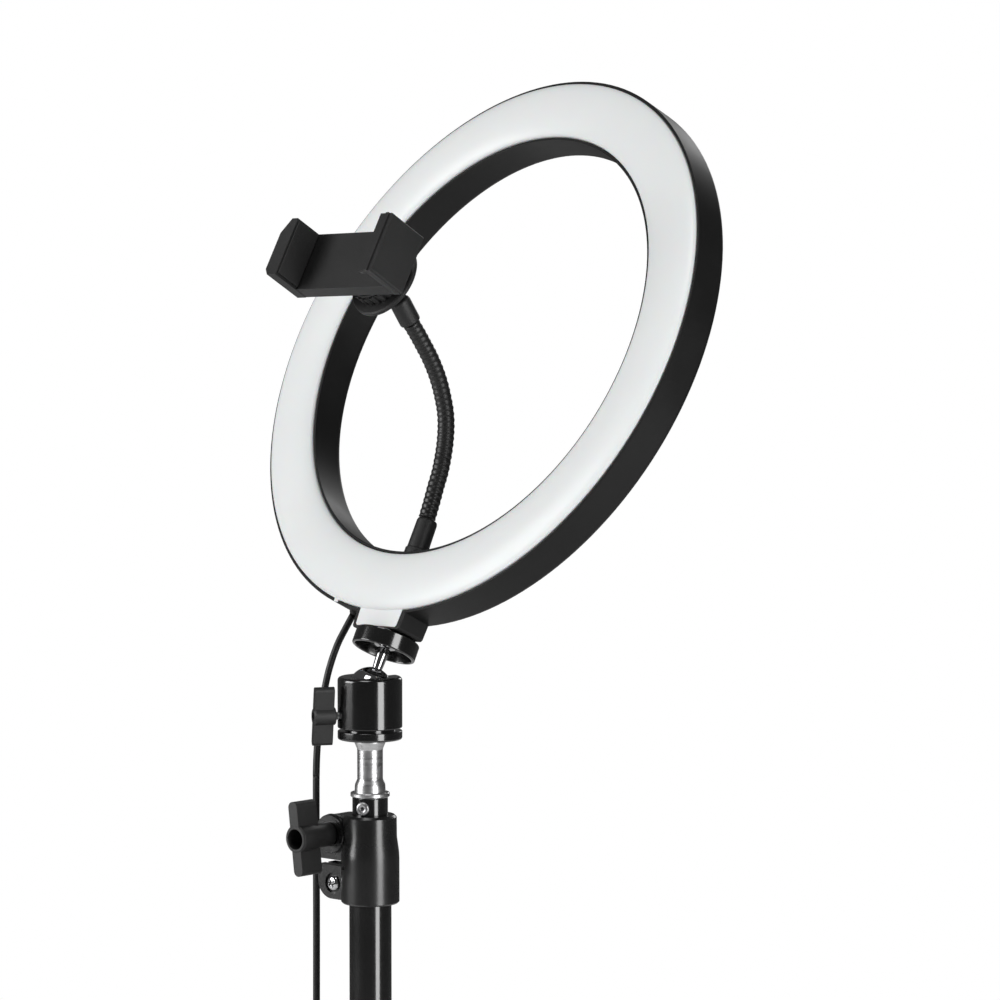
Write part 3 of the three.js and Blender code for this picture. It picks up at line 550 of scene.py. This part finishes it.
def plugParts():
    place = shifted(mastFrame, -233.9, -127.1, 4.1) @ Matrix.Rotation(math.radians(-130), 4, "Z")
    lying = Matrix.Rotation(math.pi / 2, 4, "X") @ Matrix.Rotation(math.pi / 2, 4, "Y")
    grip = moved(prism(roundedOutline(15.4, 8, 2.4), 0, 22), lying)
    bmesh.ops.translate(grip, verts=grip.verts, vec=(9, 0, 0))
    relief = turnedTo(turned([(0, 0), (1.8, 0), (2.9, 9.5), (0, 9.5)], 40), (1, 0, 0))
    grooves = [turnedTo(tubeOf(9, 1.9 + 0.2 * i, -0.35, 0.35, 24), (1, 0, 0), (2.4 + 2.2 * i, 0, 0))
               for i in range(3)]
    grip = softened(cut(join(grip, relief), *grooves), 0.5, 3, 40)
    made = [finishPiece(grip, "plugGrip", "mast_base", "mouldedPlastic", place, ["plug_grip"])]
    shell = cut(block((31 + gap, 43), (-6, 6), (-2.25, 2.25)), block((33.6, 44), (-5.6, 5.6), (-1.85, 1.85)),
                *[block((36.5, 39), (y - 1.1, y + 1.1), (1, 4)) for y in (-2.9, 2.9)])
    made.append(finishPiece(
        softened(shell, 0.12, 2), "plugShell", "mast_base", "brightChrome", place, ["plug_shell"]))
    return made


def addCords():
    stretches = leadParts()
    controller = controllerParts()
    plug = plugParts()
    tie = coilTie()
    route = smoothRoute(
        inMetres([*plugLeadPoints, *coilRoute(), coilShape["overCrossing"], *plugTailPoints]), lead["step"])
    plugCord = dressed(cordMesh("plugCord", route, lead["radius"] * millimetre), "cableBlack")
    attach(plugCord, "mast_base")
    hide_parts("plug_lead", "plug_tail", "lead_coil")
    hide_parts("lamp_lead")


addCords()
print("cords laid")


# The lamp.

ringSet = {
    "outer": 130.0, "inner": 100.6, "depth": 17.5, "wall": 1.2, "dome": 3.6, "segments": 160,
    "lugTop": 16.5, "lugBottom": 15.8, "lugEnd": -136.8, "lugDepth": 15.0, "tabSides": 2.1, "tabEnd": 0.9,
    "cordAngle": -13.6, "cordDepth": -10.0, "screwCircle": 115.3,
}


def lugOutline(sides, end, top):
    foot = ringSet["lugEnd"] + end
    upper, lower = ringSet["lugTop"] - sides, ringSet["lugBottom"] - sides
    corner = 0.8
    return [
        (-upper, top), (-lower, foot + corner), (-lower + corner, foot), (lower - corner, foot),
        (lower, foot + corner), (upper, top)]


def cordLine():
    angle = math.radians(ringSet["cordAngle"])
    return Vector((math.sin(angle), -math.cos(angle), 0)), Vector((0, 0, ringSet["cordDepth"]))


nubSet = {"from": -34.2, "to": -31.3, "reach": -125.4, "low": -1.3}


def ringHousing():
    outer, inner, depth = ringSet["outer"], ringSet["inner"], ringSet["depth"]
    wall, floor = ringSet["wall"], 1.6
    back = [(x, y - depth) for x, y in arc((outer - 3, 3), 3, 0, -90, 7)]
    innerBack = [(x, y - depth) for x, y in arc((inner + 3, 3), 3, -90, -180, 7)]
    rim = [(inner, -0.25), (inner + 0.25, 0), (inner + wall - 0.25, 0), (inner + wall, -0.25)]
    outerRim = [(outer - wall, -0.25), (outer - wall + 0.25, 0), (outer - 0.25, 0), (outer, -0.25)]
    trough = turned(
        [*back, *innerBack, *rim, (inner + wall, floor - depth), (outer - wall, floor - depth), *outerRim],
        ringSet["segments"])
    lug = softened(prism(lugOutline(0, 0, -outer + 3), -ringSet["lugDepth"], -0.02), 0.5)
    hollow = turned(
        [(inner + wall, floor - depth), (outer - wall, floor - depth), (outer - wall, 1), (inner + wall, 1)],
        ringSet["segments"])
    tabSeat = prism(lugOutline(ringSet["tabSides"] - 0.1, ringSet["tabEnd"] - 0.1, -outer + 4), -2, 2)
    insertHole = turnedTo(rod(4.2, 16), (0, 1, 0), (0, ringSet["lugEnd"] - 1, -halfDepth))
    outward, cordLevel = cordLine()
    glandHole = turnedTo(rod(2.5, 8), outward, outward * (outer - 6) + cordLevel)
    notch = block((nubSet["from"] - 0.1, nubSet["to"] + 0.1), (-outer, -outer + 12), (nubSet["low"] - 0.1, 1))
    circle = ringSet["screwCircle"]
    turns = [math.radians(90 + 60 * i) for i in range(6)]
    screwHoles = [
        turnedTo(rod(2.6, 2.4), (0, 0, 1), (circle * math.cos(turn), circle * math.sin(turn), -depth - 1.5))
        for turn in turns]
    ventSlots = [
        moved(prism(roundedOutline(1.6, 9, 0.79), -depth - 1, -depth + 0.9),
              Matrix.Rotation(math.radians(30 + 60 * i + 3 * k), 4, "Z")
              @ Matrix.Translation((circle, 0, 0)))
        for i in range(6) for k in (-2, -1, 0, 1, 2)]
    housing = cut(join(trough, lug), hollow, tabSeat, insertHole, glandHole, notch, *screwHoles, *ventSlots)
    finishPiece(housing, "ringHousing", "ring", "satinHousing", ringFrame, ["ring_housing"])
    for i, turn in enumerate(turns):
        screw = turned([(0, -1), (2, -1), (2, -0.3), (1.5, 0.15), (0, 0.3)], 32)
        slots = [block((-1.2, 1.2), (-0.25, 0.25), (-0.2, 1)), block((-0.25, 0.25), (-1.2, 1.2), (-0.2, 1))]
        place = shifted(ringFrame, circle * math.cos(turn), circle * math.sin(turn), -depth + 0.2)
        finishPiece(cut(screw, *slots), f"backScrew{i + 1}", "ring", "zincSteel",
                    place @ Matrix.Rotation(math.pi, 4, "X"))


def diffuserCover():
    inner, outer = ringSet["inner"] + ringSet["wall"] + gap, ringSet["outer"] - ringSet["wall"] - gap
    centre, half, dome, skirt = (inner + outer) / 2, (outer - inner) / 2, ringSet["dome"], -2.0

    def arch(width, height, count):
        return [(centre + width * math.cos(math.pi * i / count), height * math.sin(math.pi * i / count))
                for i in range(count + 1)]

    cover = turned(
        [(outer, skirt), *arch(half, dome, 26), (inner, skirt), (inner + 1.4, skirt),
         *arch(half - 1.4, dome - 1.5, 16)[::-1], (outer - 1.4, skirt)], ringSet["segments"])
    tabOutline = lugOutline(ringSet["tabSides"], ringSet["tabEnd"], -ringSet["outer"] + 4.4)
    tab = softened(prism(tabOutline, -1.7, 0.1), 0.3)
    reach = nubSet["reach"]
    nub = block((nubSet["from"], nubSet["to"]), (reach, reach + 2.4), (nubSet["low"], 0.02))
    finishPiece(join(cover, tab, nub), "diffuserCover", "ring", "opalPlastic", ringFrame, ["diffuser"])


def ledParts():
    dressNode("led_board", "boardWhite")
    dressNode("lug_insert", "turnedBrass")
    outward, cordLevel = cordLine()
    gland = turned([(0, -4), (2.2, -4), (2.2, 0.1), (2.05, 0.55), (1.75, 0.95), (1.6, 1.2), (0, 1.2)], 40)
    finishPiece(
        gland, "cordGland", "ring", "rubberBlack",
        aimed(ringFrame, outward, outward * ringSet["outer"] + cordLevel), ["cord_gland"])


def dressNode(node, finish):
    mesh = frame["nodes"][node].data
    mesh.materials.clear()
    mesh.materials.append(finishes[finish])


# The stem, its ball and the lock disc under the lug.

stemSet = {"ball": 9.75, "neck": 2.15, "taperTop": 2.75, "discLow": 17.4, "discHigh": 24.9, "disc": 14.25}


def stemParts():
    radius = stemSet["ball"]
    neckAngle = math.degrees(math.acos(stemSet["neck"] / radius))
    sphere = arc((0, 0), radius, -90, neckAngle, 40)
    sphere[0] = (0, -radius)
    profile = [*sphere, (stemSet["taperTop"], 19), (4.6, 19.6), (4.9, 19.9), (4.9, 21.7), (4.6, 22),
               (3, 22), (3, 34), (0, 34)]
    stud = turned(profile, 96)
    finishPiece(stud, "ballStud", "stud", "brightChrome", lampFrame, ["ball_stud"], 30)
    low, high, disc = stemSet["discLow"], stemSet["discHigh"], stemSet["disc"]
    cup = turned(
        [(3.35, high - 2.5), (11.9, high - 2.5), (12.4, high - 2.9), (12.75, low + 0.4), (13.05, low),
         (13.7, low), *arc((disc - 0.6, low + 0.6), 0.6, -90, 0, 4),
         *arc((disc - 0.9, high - 0.9), 0.9, 0, 90, 5), (3.35, high)], 128)
    finishPiece(cup, "lockDisc", "disc", "enamelBlack", lampFrame, ["lock_disc"])


# The ball head.

ballHeadSet = {
    "radius": 14.0, "rim": 5.7, "base": -21.6, "knobTurn": -114.9, "knobLevel": -11.0, "wingTurn": -0.63,
    "screwStart": 10.1, "pitch": 0.4}


def ballHeadParts():
    radius, rim, base = ballHeadSet["radius"], ballHeadSet["rim"], ballHeadSet["base"]
    socket = stemSet["ball"] + gap
    foot = turned(
        [(0, base), (radius - 1.4, base), *arc((radius - 1, base + 1), 1, -90, 0, 6),
         *arc((radius - 0.4, base + 3.5), 0.4, 0, 90, 3), (10.9, base + 3.9), (10.9, base + 4.8),
         (8, base + 4.8), (8, base + 7), (0, base + 7)], 96)
    finishPiece(cut(foot, rod(3.4, 20, 40, base - 1)), "ballBase", "top_section", "enamelBlack",
                ballFrame, ["ball_base"])
    opening = math.degrees(math.asin(rim / socket))
    body = turned(
        [(8.3, base + 5.1), *arc((radius - 0.5, base + 5.6), 0.5, -90, 0, 4),
         *arc((radius - 1.7, rim - 1.7), 1.7, 0, 74, 8), (radius - 2.6, rim),
         *arc((0, 0), socket, opening, 0, 10), (socket, -10.4), (8.3, -10.4)], 128)
    turn = math.radians(ballHeadSet["knobTurn"])
    way = Vector((math.cos(turn), math.sin(turn), 0))
    level = Vector((0, 0, ballHeadSet["knobLevel"]))
    hole = turnedTo(rod(2.2, 12), way, way * 6 + level)
    notch = join(block((0, 20), (-3.1, 3.1), (0, 10)), turnedTo(rod(3.1, 20, 40), (1, 0, 0)))
    notch = moved(notch, Matrix.Rotation(math.radians(95.1), 4, "Z"))
    housing = cut(body, hole, notch)
    finishPiece(housing, "ballHousing", "ball_house", "enamelBlack", ballFrame, ["ball_housing"], 30)
    dressNode("ball_shoe", "mouldedPlastic")
    wing = softened(wingKnob(wingKnobSet), 0.4)
    start = radius + 1.6
    place = aimed(ballFrame, way, way * start + level)
    finishPiece(wing, "wingKnob", "ball_knob", "mouldedPlastic",
                place @ Matrix.Rotation(ballHeadSet["wingTurn"], 4, "Z"), ["wing_knob"])
    screwStart, pitch = ballHeadSet["screwStart"], ballHeadSet["pitch"]
    count = int((start + 6 - screwStart) / pitch)
    threads = [(1.75 - 0.16 * (i % 2), screwStart + pitch * i) for i in range(count)]
    screw = turned([(0, screwStart), *threads, (0, threads[-1][1])], 40)
    finishPiece(screw, "wingScrew", "ball_knob", "zincSteel", aimed(ballFrame, way, level), ["wing_screw"])


wingKnobSet = {
    "hub": 3.9, "end": 3.9, "length": 9.6, "hole": 1.8, "bore": 2.2, "holeDepth": 2,
    "span": 26.2, "wing": 3.8, "wingDepth": 8.8}
clampKnobSet = {
    "hub": 5.2, "end": 6.1, "length": 20.8, "hole": 4.4, "bore": 2.7, "holeDepth": 9,
    "span": 32.4, "wing": 5.2, "wingDepth": 12.4}


def wingKnob(sizes):
    hub, end, length, span, wing = (sizes[name] for name in ("hub", "end", "length", "span", "wing"))
    body = turned([(0, 0), (hub - 0.3, 0), (hub, 0.3), (hub, length * 0.42), (end, length * 0.58),
                   (end, length - 0.7), (end - 0.7, length), (0, length)], 64)
    bar = prism(roundedOutline(wing, span, wing / 2 - 0.1), length - sizes["wingDepth"], length - 0.2)
    return cut(
        join(body, bar),
        rod(sizes["bore"], length - sizes["holeDepth"] + 1, 32, -1),
        rod(sizes["hole"], sizes["holeDepth"] + 1, 40, length - sizes["holeDepth"]))


# The mast's tubes, spigot and split clamps.

mastSet = {
    "topRadius": 7.7, "middleRadius": 9.15, "lowerRadius": 11.0, "wall": 0.95, "lowerClamp": 454.5,
    "upperClamp": 593.0, "clampHeight": 38.5, "exposedTop": 7.6, "spigot": 25.2, "middleLength": 420,
    "topLength": 405, "rivetTurn": -61.6, "rivetDrop": 4.2,
}
clampSet = {
    "slit": (15.0, 17.6), "boltInset": 8.9, "boltLevel": 29.0, "screwLevel": 7.2, "halfEars": 5.5,
    "seat": 14.7}


def mastTube(name, node, body, radius, low, high, *holes):
    wall = mastSet["wall"]
    tube = turned(
        [(radius - wall, low), (radius - 0.25, low), (radius, low + 0.25), (radius, high - 0.25),
         (radius - 0.25, high), (radius - wall, high)], 96)
    if holes:
        tube = cut(tube, *holes)
    finishPiece(tube, name, body, "enamelBlack", mastFrame, [node])


def mastParts():
    clampTop = mastSet["upperClamp"] + mastSet["clampHeight"]
    tubeTop = clampTop + mastSet["exposedTop"]
    middleTop = mastSet["upperClamp"] + clampSet["seat"]
    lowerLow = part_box("lower_tube")[0].z / millimetre
    mastTube("lowerTube", "lower_tube", "mast_base", mastSet["lowerRadius"], lowerLow,
             mastSet["lowerClamp"] + clampSet["seat"])
    mastTube("middleTube", "middle_tube", "middle_section", mastSet["middleRadius"],
             middleTop - mastSet["middleLength"], middleTop)
    turn, rivetDrop = math.radians(mastSet["rivetTurn"]), mastSet["rivetDrop"]
    way = Vector((math.cos(turn), math.sin(turn), 0))
    rivetPoint = way * (mastSet["topRadius"] + 0.05) + Vector((0, 0, tubeTop - rivetDrop))
    rivetHole = turnedTo(rod(1.9, 12), way, Vector((0, 0, tubeTop - rivetDrop)))
    mastTube("topTube", "top_tube", "top_section", mastSet["topRadius"],
             tubeTop - mastSet["topLength"], tubeTop, rivetHole)
    dressNode("middle_bush", "mouldedPlastic")
    dressNode("top_bush", "mouldedPlastic")
    plug = mastSet["topRadius"] - mastSet["wall"] - gap
    head = mastSet["spigot"]
    spigot = turned(
        [(0, -19), (plug, -19), (plug, gap), (8.2, gap), (8.5, 0.6), (8.5, 1.9), (8.2, 2.2), (6.9, 2.25),
         (6.7, 2.7), (6.6, 5.2), (6.45, 5.9), (5.65, 7.6), (5.55, 8), (5.55, 20.6),
         (5.65, 21.2), (6.6, 23.5), (6.75, 23.9), (6.75, head - 0.6), (6.5, head - gap), (3.1, head - gap),
         (3.1, head + 7), (0, head + 7)], 96)
    spigotHole = turnedTo(rod(1.9, 12), way, Vector((0, 0, -rivetDrop)))
    finishPiece(cut(spigot, spigotHole), "spigot", "top_section", "turnedAluminium",
                shifted(mastFrame, 0, 0, tubeTop), ["spigot"])
    rivet = turned(
        [(0, -6.5), (1.6, -6.5), (1.6, gap), (2.9, gap), (3, 0.5), (2.9, 0.9), (2.5, 1.25), (1.9, 1.35),
         (1.2, 1.25), (0.9, 1), (0.8, 0.2), (0.8, -1.4), (0, -1.6)], 48)
    finishPiece(rivet, "spigotRivet", "top_section", "zincSteel",
                aimed(mastFrame, way, rivetPoint), ["spigot_rivet"])
    splitClamp("lower_clamp", "lowerClamp", "mast_base", "lower_knob", mastSet["lowerClamp"], -70,
               mastSet["lowerRadius"], mastSet["middleRadius"], 28.8, 0.5)
    splitClamp("upper_clamp", "upperClamp", "middle_section", "upper_knob", mastSet["upperClamp"], 187.6,
               mastSet["middleRadius"], mastSet["topRadius"], 26.3, 0.12)


def splitClamp(node, name, body, knobBody, base, turn, below, above, reach, knobTilt):
    place = shifted(mastFrame, 0, 0, base) @ Matrix.Rotation(math.radians(turn), 4, "Z")
    height, slit, half = mastSet["clampHeight"], clampSet["slit"], clampSet["halfEars"]
    outer, topOuter = below + 3.5, above + 3.8
    bolt, boltLevel, screwLevel = reach - clampSet["boltInset"], clampSet["boltLevel"], clampSet["screwLevel"]
    shell = turned(
        [(above - 2, 0), (outer - 0.7, 0), (outer, 0.7), (outer, height * 0.5), (outer - 0.15, height * 0.58),
         (topOuter + 0.1, height * 0.75), (topOuter, height - 1), (topOuter - 1, height),
         (above - 2, height)], 96)
    outline = [(6, gap), *arc((reach - 8, 8 + gap), 8, -90, 0, 14),
               *arc((reach - 10, height - 11), 10, 0, 90, 14), (6, height - 1)]
    ears = moved(prism(outline, -half, half), Matrix.Rotation(math.pi / 2, 4, "X"))
    sideways = (0, 1, 0)
    boss = turnedTo(turned([(0, 0), (8.7, 0), (8.4, 1.9), (8.1, 2.2), (0, 2.2)], 64), sideways,
                    (bolt, half - 0.1, boltLevel))
    solid = cut(
        join(shell, ears, boss), rod(below + gap, slit[0] + 1.5, 96, -1),
        rod(above + gap, height, 96, slit[0] - 0.2), block((0, reach + 5), (-1, 1), (-1, height + 1)),
        block((4, reach + 5), (-20, 20), slit), turnedTo(rod(2.7, 40), sideways, (bolt, -20, boltLevel)),
        turnedTo(rod(2.3, 40), sideways, (bolt, -20, screwLevel)),
        turnedTo(rod(4.5, 5), sideways, (bolt, half - 1.1, screwLevel)))
    finishPiece(softened(solid, 0.5, 3, 40), name, body, "castBlack", place, [node])
    knobPlace = aimed(place, sideways, (bolt, half + 2.1 + gap, boltLevel))
    finishPiece(softened(wingKnob(clampKnobSet), 0.6), name + "Knob", knobBody, "mouldedPlastic",
                knobPlace @ Matrix.Rotation(knobTilt, 4, "Z"), [node + "_knob"])
    shank = join(softened(rod(4.6, 2.6, 6), 0.35), rod(2.35, 2 * half + 15.6))
    finishPiece(shank, name + "Bolt", body, "zincSteel",
                aimed(place, sideways, (bolt, -half - gap - 2.6, boltLevel)), [node + "_bolt"])
    screw = join(
        turned([(0, -0.1), (2, -0.1), (2, 2 * half - 0.5), (3.3, 2 * half - 0.5), (3.25, 2 * half + 0.2),
                (2.8, 2 * half + 0.8), (1.8, 2 * half + 1.2), (0, 2 * half + 1.3)], 64),
        rod(3.8, 2.4, 6, -2.4))
    cross = [block((-0.45, 0.45), (-2, 2), (-0.7, 3)), block((-2, 2), (-0.45, 0.45), (-0.7, 3))]
    cross = [moved(tool, Matrix.Translation((0, 0, 2 * half + 0.8))) for tool in cross]
    finishPiece(softened(cut(screw, *cross), 0.12, 2), name + "PinchScrew", body, "brightChrome",
                aimed(place, sideways, (bolt, -half - gap, screwLevel)) @ Matrix.Rotation(0.6, 4, "Z"),
                [node + "_pinch_screw"])


# The tripod.

def tripodParts():
    refined("leg_collar", "legCollar", "leg_slider", "castBlack", 0.6)
    refined("strut_collar", "strutCollar", "mast_base", "castBlack", 0.6)
    for i, letter in enumerate("abc"):
        refined(f"leg_{i + 1}", f"leg{i + 1}", "leg_" + letter, "enamelBlack", 0.3, 50)
        refined(f"foot_{i + 1}", f"foot{i + 1}", "leg_" + letter, "rubberBlack", 0.8, 50)
        refined(f"strut_{i + 1}", f"strut{i + 1}", "strut_" + letter, "enamelBlack", 0.25, 50)
    refined("leg_collar_knob", "legCollarKnob", "leg_slider_knob", "mouldedPlastic", 0.5, 40)


# The gooseneck: ribbed hose in three lengths, each listed with the two bodies of one of the neck's hinges.

neckSet = {"radius": 3.72, "rib": 0.13, "pitch": 2.6, "step": 0.00033}
neckPoints = [
    (-81.7, -7.1), (-74.5, -6.6), (-67.2, -5.9), (-60.5, -5.4), (-54.7, -4.4), (-47.5, -2.6), (-40.3, 0.1),
    (-35, 3), (-30.3, 6.6), (-25.7, 10.7), (-21.6, 15.2), (-17.3, 21), (-13.5, 27.4), (-10.9, 32),
    (-8.4, 36.9)]


def lampPoint(up, forward):
    return Vector((0, -forward - halfDepth, ringCentre + up))


def neckParts():
    route = smoothRoute([lampFrame @ lampPoint(up, forward) for up, forward in neckPoints], neckSet["step"])
    last = len(route) - 1
    cuts = [0, round(last * 0.3), round(last * 0.64), last]
    step = routeLength(route) / last / millimetre
    pieces = [
        ("neckLowerHose", "neck_base", "neck_a", "neck_lower"),
        ("neckMiddleHose", "neck_a", "neck_b", "neck_middle"),
        ("neckUpperHose", "neck_b", "neck_c", "neck_upper")]
    for (name, first, second, node), low, high in zip(pieces, cuts, cuts[1:]):
        part = route[low:high + 1]

        def swell(i, low=low):
            wave = math.cos(2 * math.pi * (i + low) * step / neckSet["pitch"])
            return 1 + neckSet["rib"] / neckSet["radius"] * wave

        hose = dressed(cordMesh(name, part, neckSet["radius"] * millimetre, 10, swell), "cableBlack")
        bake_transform(hose)
        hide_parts(node)
    foot = lampPoint(-ringSet["inner"] + 0.75, -7.9)
    length = lampPoint(-82.4, 0).z - foot.z
    socket = turned([(0, 0), (5.1, 0), (5.3, 0.2), (5.3, 2.8), (5.1, 3.1), (4.8, 3.4), (4.6, length - 1.2),
                     (4.3, length - 0.3), (3.9, length), (0, length)], 64)
    finishPiece(socket, "neckSocket", "neck_base", "mouldedPlastic",
                shifted(lampFrame, *foot), ["neck_socket"])
    end, ballAt = lampPoint(-8.4, 36.9), lampPoint(1.6, 54)
    reach = (ballAt - end).length
    stem = turned(
        [(0, gap), (4.1, gap), (4.5, 0.6), (4.7, 1.2), (4.7, 10.6), (4.4, 11.6), (3.9, 12.2), (2.7, 12.6),
         (2.6, 12.9), (2.6, reach - 4.4), *arc((0, reach), 5.3, -50, 78, 18), (0, reach + 5.2)], 64)
    finishPiece(stem, "holderBall", "neck_c", "mouldedPlastic",
                aimed(lampFrame, ballAt - end, end), ["holder_ball"])


# The phone holder.

holderSet = {
    "back": 17.2, "thick": 6.8, "left": -30.0, "right": 25.4, "low": -15.4, "high": 12.7, "jaw": 13.7,
    "lip": 2.2, "pad": 0.9, "boss": 11.4}


def holderNut():
    ribs = [moved(rod(1.1, 9.4, 16, 1.3), Matrix.Rotation(math.radians(15 * i), 4, "Z")
                  @ Matrix.Translation((12.5, 0, 0))) for i in range(24)]
    barrel = turned([
        (5.4, -1.5), (10.6, -1.5), (12.6, 0.4), (12.6, 3), (16.9, 3), (17.5, 3.5), (17.5, 5.1), (16.9, 5.6),
        (12.6, 5.6), (12.6, 11.1), (12.2, 11.5), (5.4, 11.5)], 96)
    nut = cut(
        join(barrel, *ribs), ball(5.7), turned([(0, -4), (7.4, -4), (4.6, 1), (0, 1)], 48),
        rod(8.3, 12, 64, 3.2))
    finishPiece(nut, "holderNut", "swivel_nut", "mouldedPlastic", holderFrame, ["holder_nut"])


def holderParts():
    holderNut()
    back, left, right, low, high = (holderSet[name] for name in ("back", "left", "right", "low", "high"))
    front = back + holderSet["thick"]
    tip, middle, boss = front + holderSet["jaw"], (low + high) / 2, holderSet["boss"]
    stalk = turned(
        [(0, 6), (8, 6), (8, 12), (boss - 0.2, 12), (boss, 12.2), (boss, back + 1), (0, back + 1)], 64)
    jawOutline = [(-7.6, high - 7.2), (-3.6, high), (0, high), (0, low), (-5.4, low), (-7.6, low + 2.8)]
    fixedJaw = moved(prism(jawOutline, back, tip), Matrix.Translation((left, 0, 0)))
    slab = block((left - 0.5, right), (low + 0.2, high - 0.2), (back, front))
    plate = cut(join(slab, fixedJaw, stalk), ball(5.7),
                block((-18, right + 5), (middle - 9, middle + 9), (back + 2, front - 2)))
    finishPiece(softened(plate, 0.4, 3, 40), "holderPlate", "holder", "mouldedPlastic", holderFrame,
                ["holder_plate"])
    slide, lip = right + gap, holderSet["lip"]
    wall = [(0, high), *arc((3.4, high - 1.2), 1.2, 90, 0, 5),
            *arc((3.4, low + 1.2), 1.2, 0, -90, 5), (0, low)]
    jaw = join(
        moved(prism(wall, back, tip), Matrix.Translation((slide, 0, 0))),
        block((-12, slide + 1), (middle - 8.6, middle + 8.6), (back + 2.4, front - 2.4)),
        block((slide - 3.4, slide + 1), (low, high), (tip - lip, tip)),
        block((slide + 0.4, slide + 2.2), (low, high), (tip - 1, tip + 0.7)))
    finishPiece(softened(jaw, 0.35, 3, 40), "slidingJaw", "jaw", "mouldedPlastic", holderFrame,
                ["sliding_jaw"])
    for node, name, body, x, sign, end in (
            ("fixed_jaw_pad", "fixedJawPad", "holder", left + gap / 2, 1, tip - 0.8),
            ("sliding_jaw_pad", "slidingJawPad", "jaw", slide - gap / 2, -1, tip - lip - gap)):
        pad = block(sorted((x, x + sign * holderSet["pad"])), (low + 1.2, high - 1.2), (front + gap, end))
        finishPiece(softened(pad, 0.25, 3), name, body, "rubberBlack", holderFrame, [node])
    dressNode("jaw_spring", "zincSteel")


ringHousing()
diffuserCover()
ledParts()
print("ring built")
stemParts()
ballHeadParts()
print("ball head built")
mastParts()
print("mast built")
tripodParts()
print("tripod built")
neckParts()
holderParts()
print("neck and holder built")


# Studio.

studioSet = {"floor": 2.4, "room": 0.07, "backdrop": 1.0}
softboxes = [  # name, azimuth, elevation, distance, width, height, power
    ("keyLight", -30, 12, 2.4, 1.4, 1.6, 44),
    ("stripLight", 91, 6, 2.6, 1.0, 2.2, 46),
    ("topLight", 20, 66, 2.4, 1.0, 1.0, 14),
    ("rimLight", 205, 24, 2.8, 0.6, 1.8, 8),
]


def addStudio():
    bpy.ops.mesh.primitive_circle_add(vertices=96, radius=studioSet["floor"], fill_type="NGON")
    floor = bpy.context.object
    floor.name = "floor"
    material, _, shader = newMaterial("paleFloor", grey(0.86), 0.8)
    shader.inputs["Specular IOR Level"].default_value = 0.1
    floor.data.materials.append(material)
    floor.location.z = cadBox[0].z - 0.0002
    world = bpy.data.worlds.new("studio")
    scene.world = world
    world.use_nodes = True
    tree = world.node_tree
    tree.nodes.clear()
    room, backdrop = tree.nodes.new("ShaderNodeBackground"), tree.nodes.new("ShaderNodeBackground")
    room.inputs["Strength"].default_value = studioSet["room"]
    room.inputs["Color"].default_value = (*grey(1), 1)
    backdrop.inputs["Strength"].default_value = studioSet["backdrop"]
    backdrop.inputs["Color"].default_value = (*grey(1), 1)
    path, mix = tree.nodes.new("ShaderNodeLightPath"), tree.nodes.new("ShaderNodeMixShader")
    output = tree.nodes.new("ShaderNodeOutputWorld")
    tree.links.new(path.outputs["Is Camera Ray"], mix.inputs["Fac"])
    tree.links.new(room.outputs["Background"], mix.inputs[1])
    tree.links.new(backdrop.outputs["Background"], mix.inputs[2])
    tree.links.new(mix.outputs["Shader"], output.inputs["Surface"])
    aim = ballCentre + Vector((0, 0, 0.05))
    for name, azimuth, elevation, distance, width, height, power in softboxes:
        turn, rise = math.radians(azimuth), math.radians(elevation)
        back = Vector((math.sin(turn) * math.cos(rise), -math.cos(turn) * math.cos(rise), math.sin(rise)))
        light = bpy.data.objects.new(name, bpy.data.lights.new(name, "AREA"))
        light.data.shape = "RECTANGLE"
        light.data.size, light.data.size_y = width, height
        light.data.energy = power
        light.visible_camera = False
        light.location = aim + back * distance
        light.rotation_euler = back.to_track_quat("Z", "Y").to_euler()
        scene.collection.objects.link(light)
    scene.view_settings.view_transform = "Standard"


addStudio()
print("studio lit")
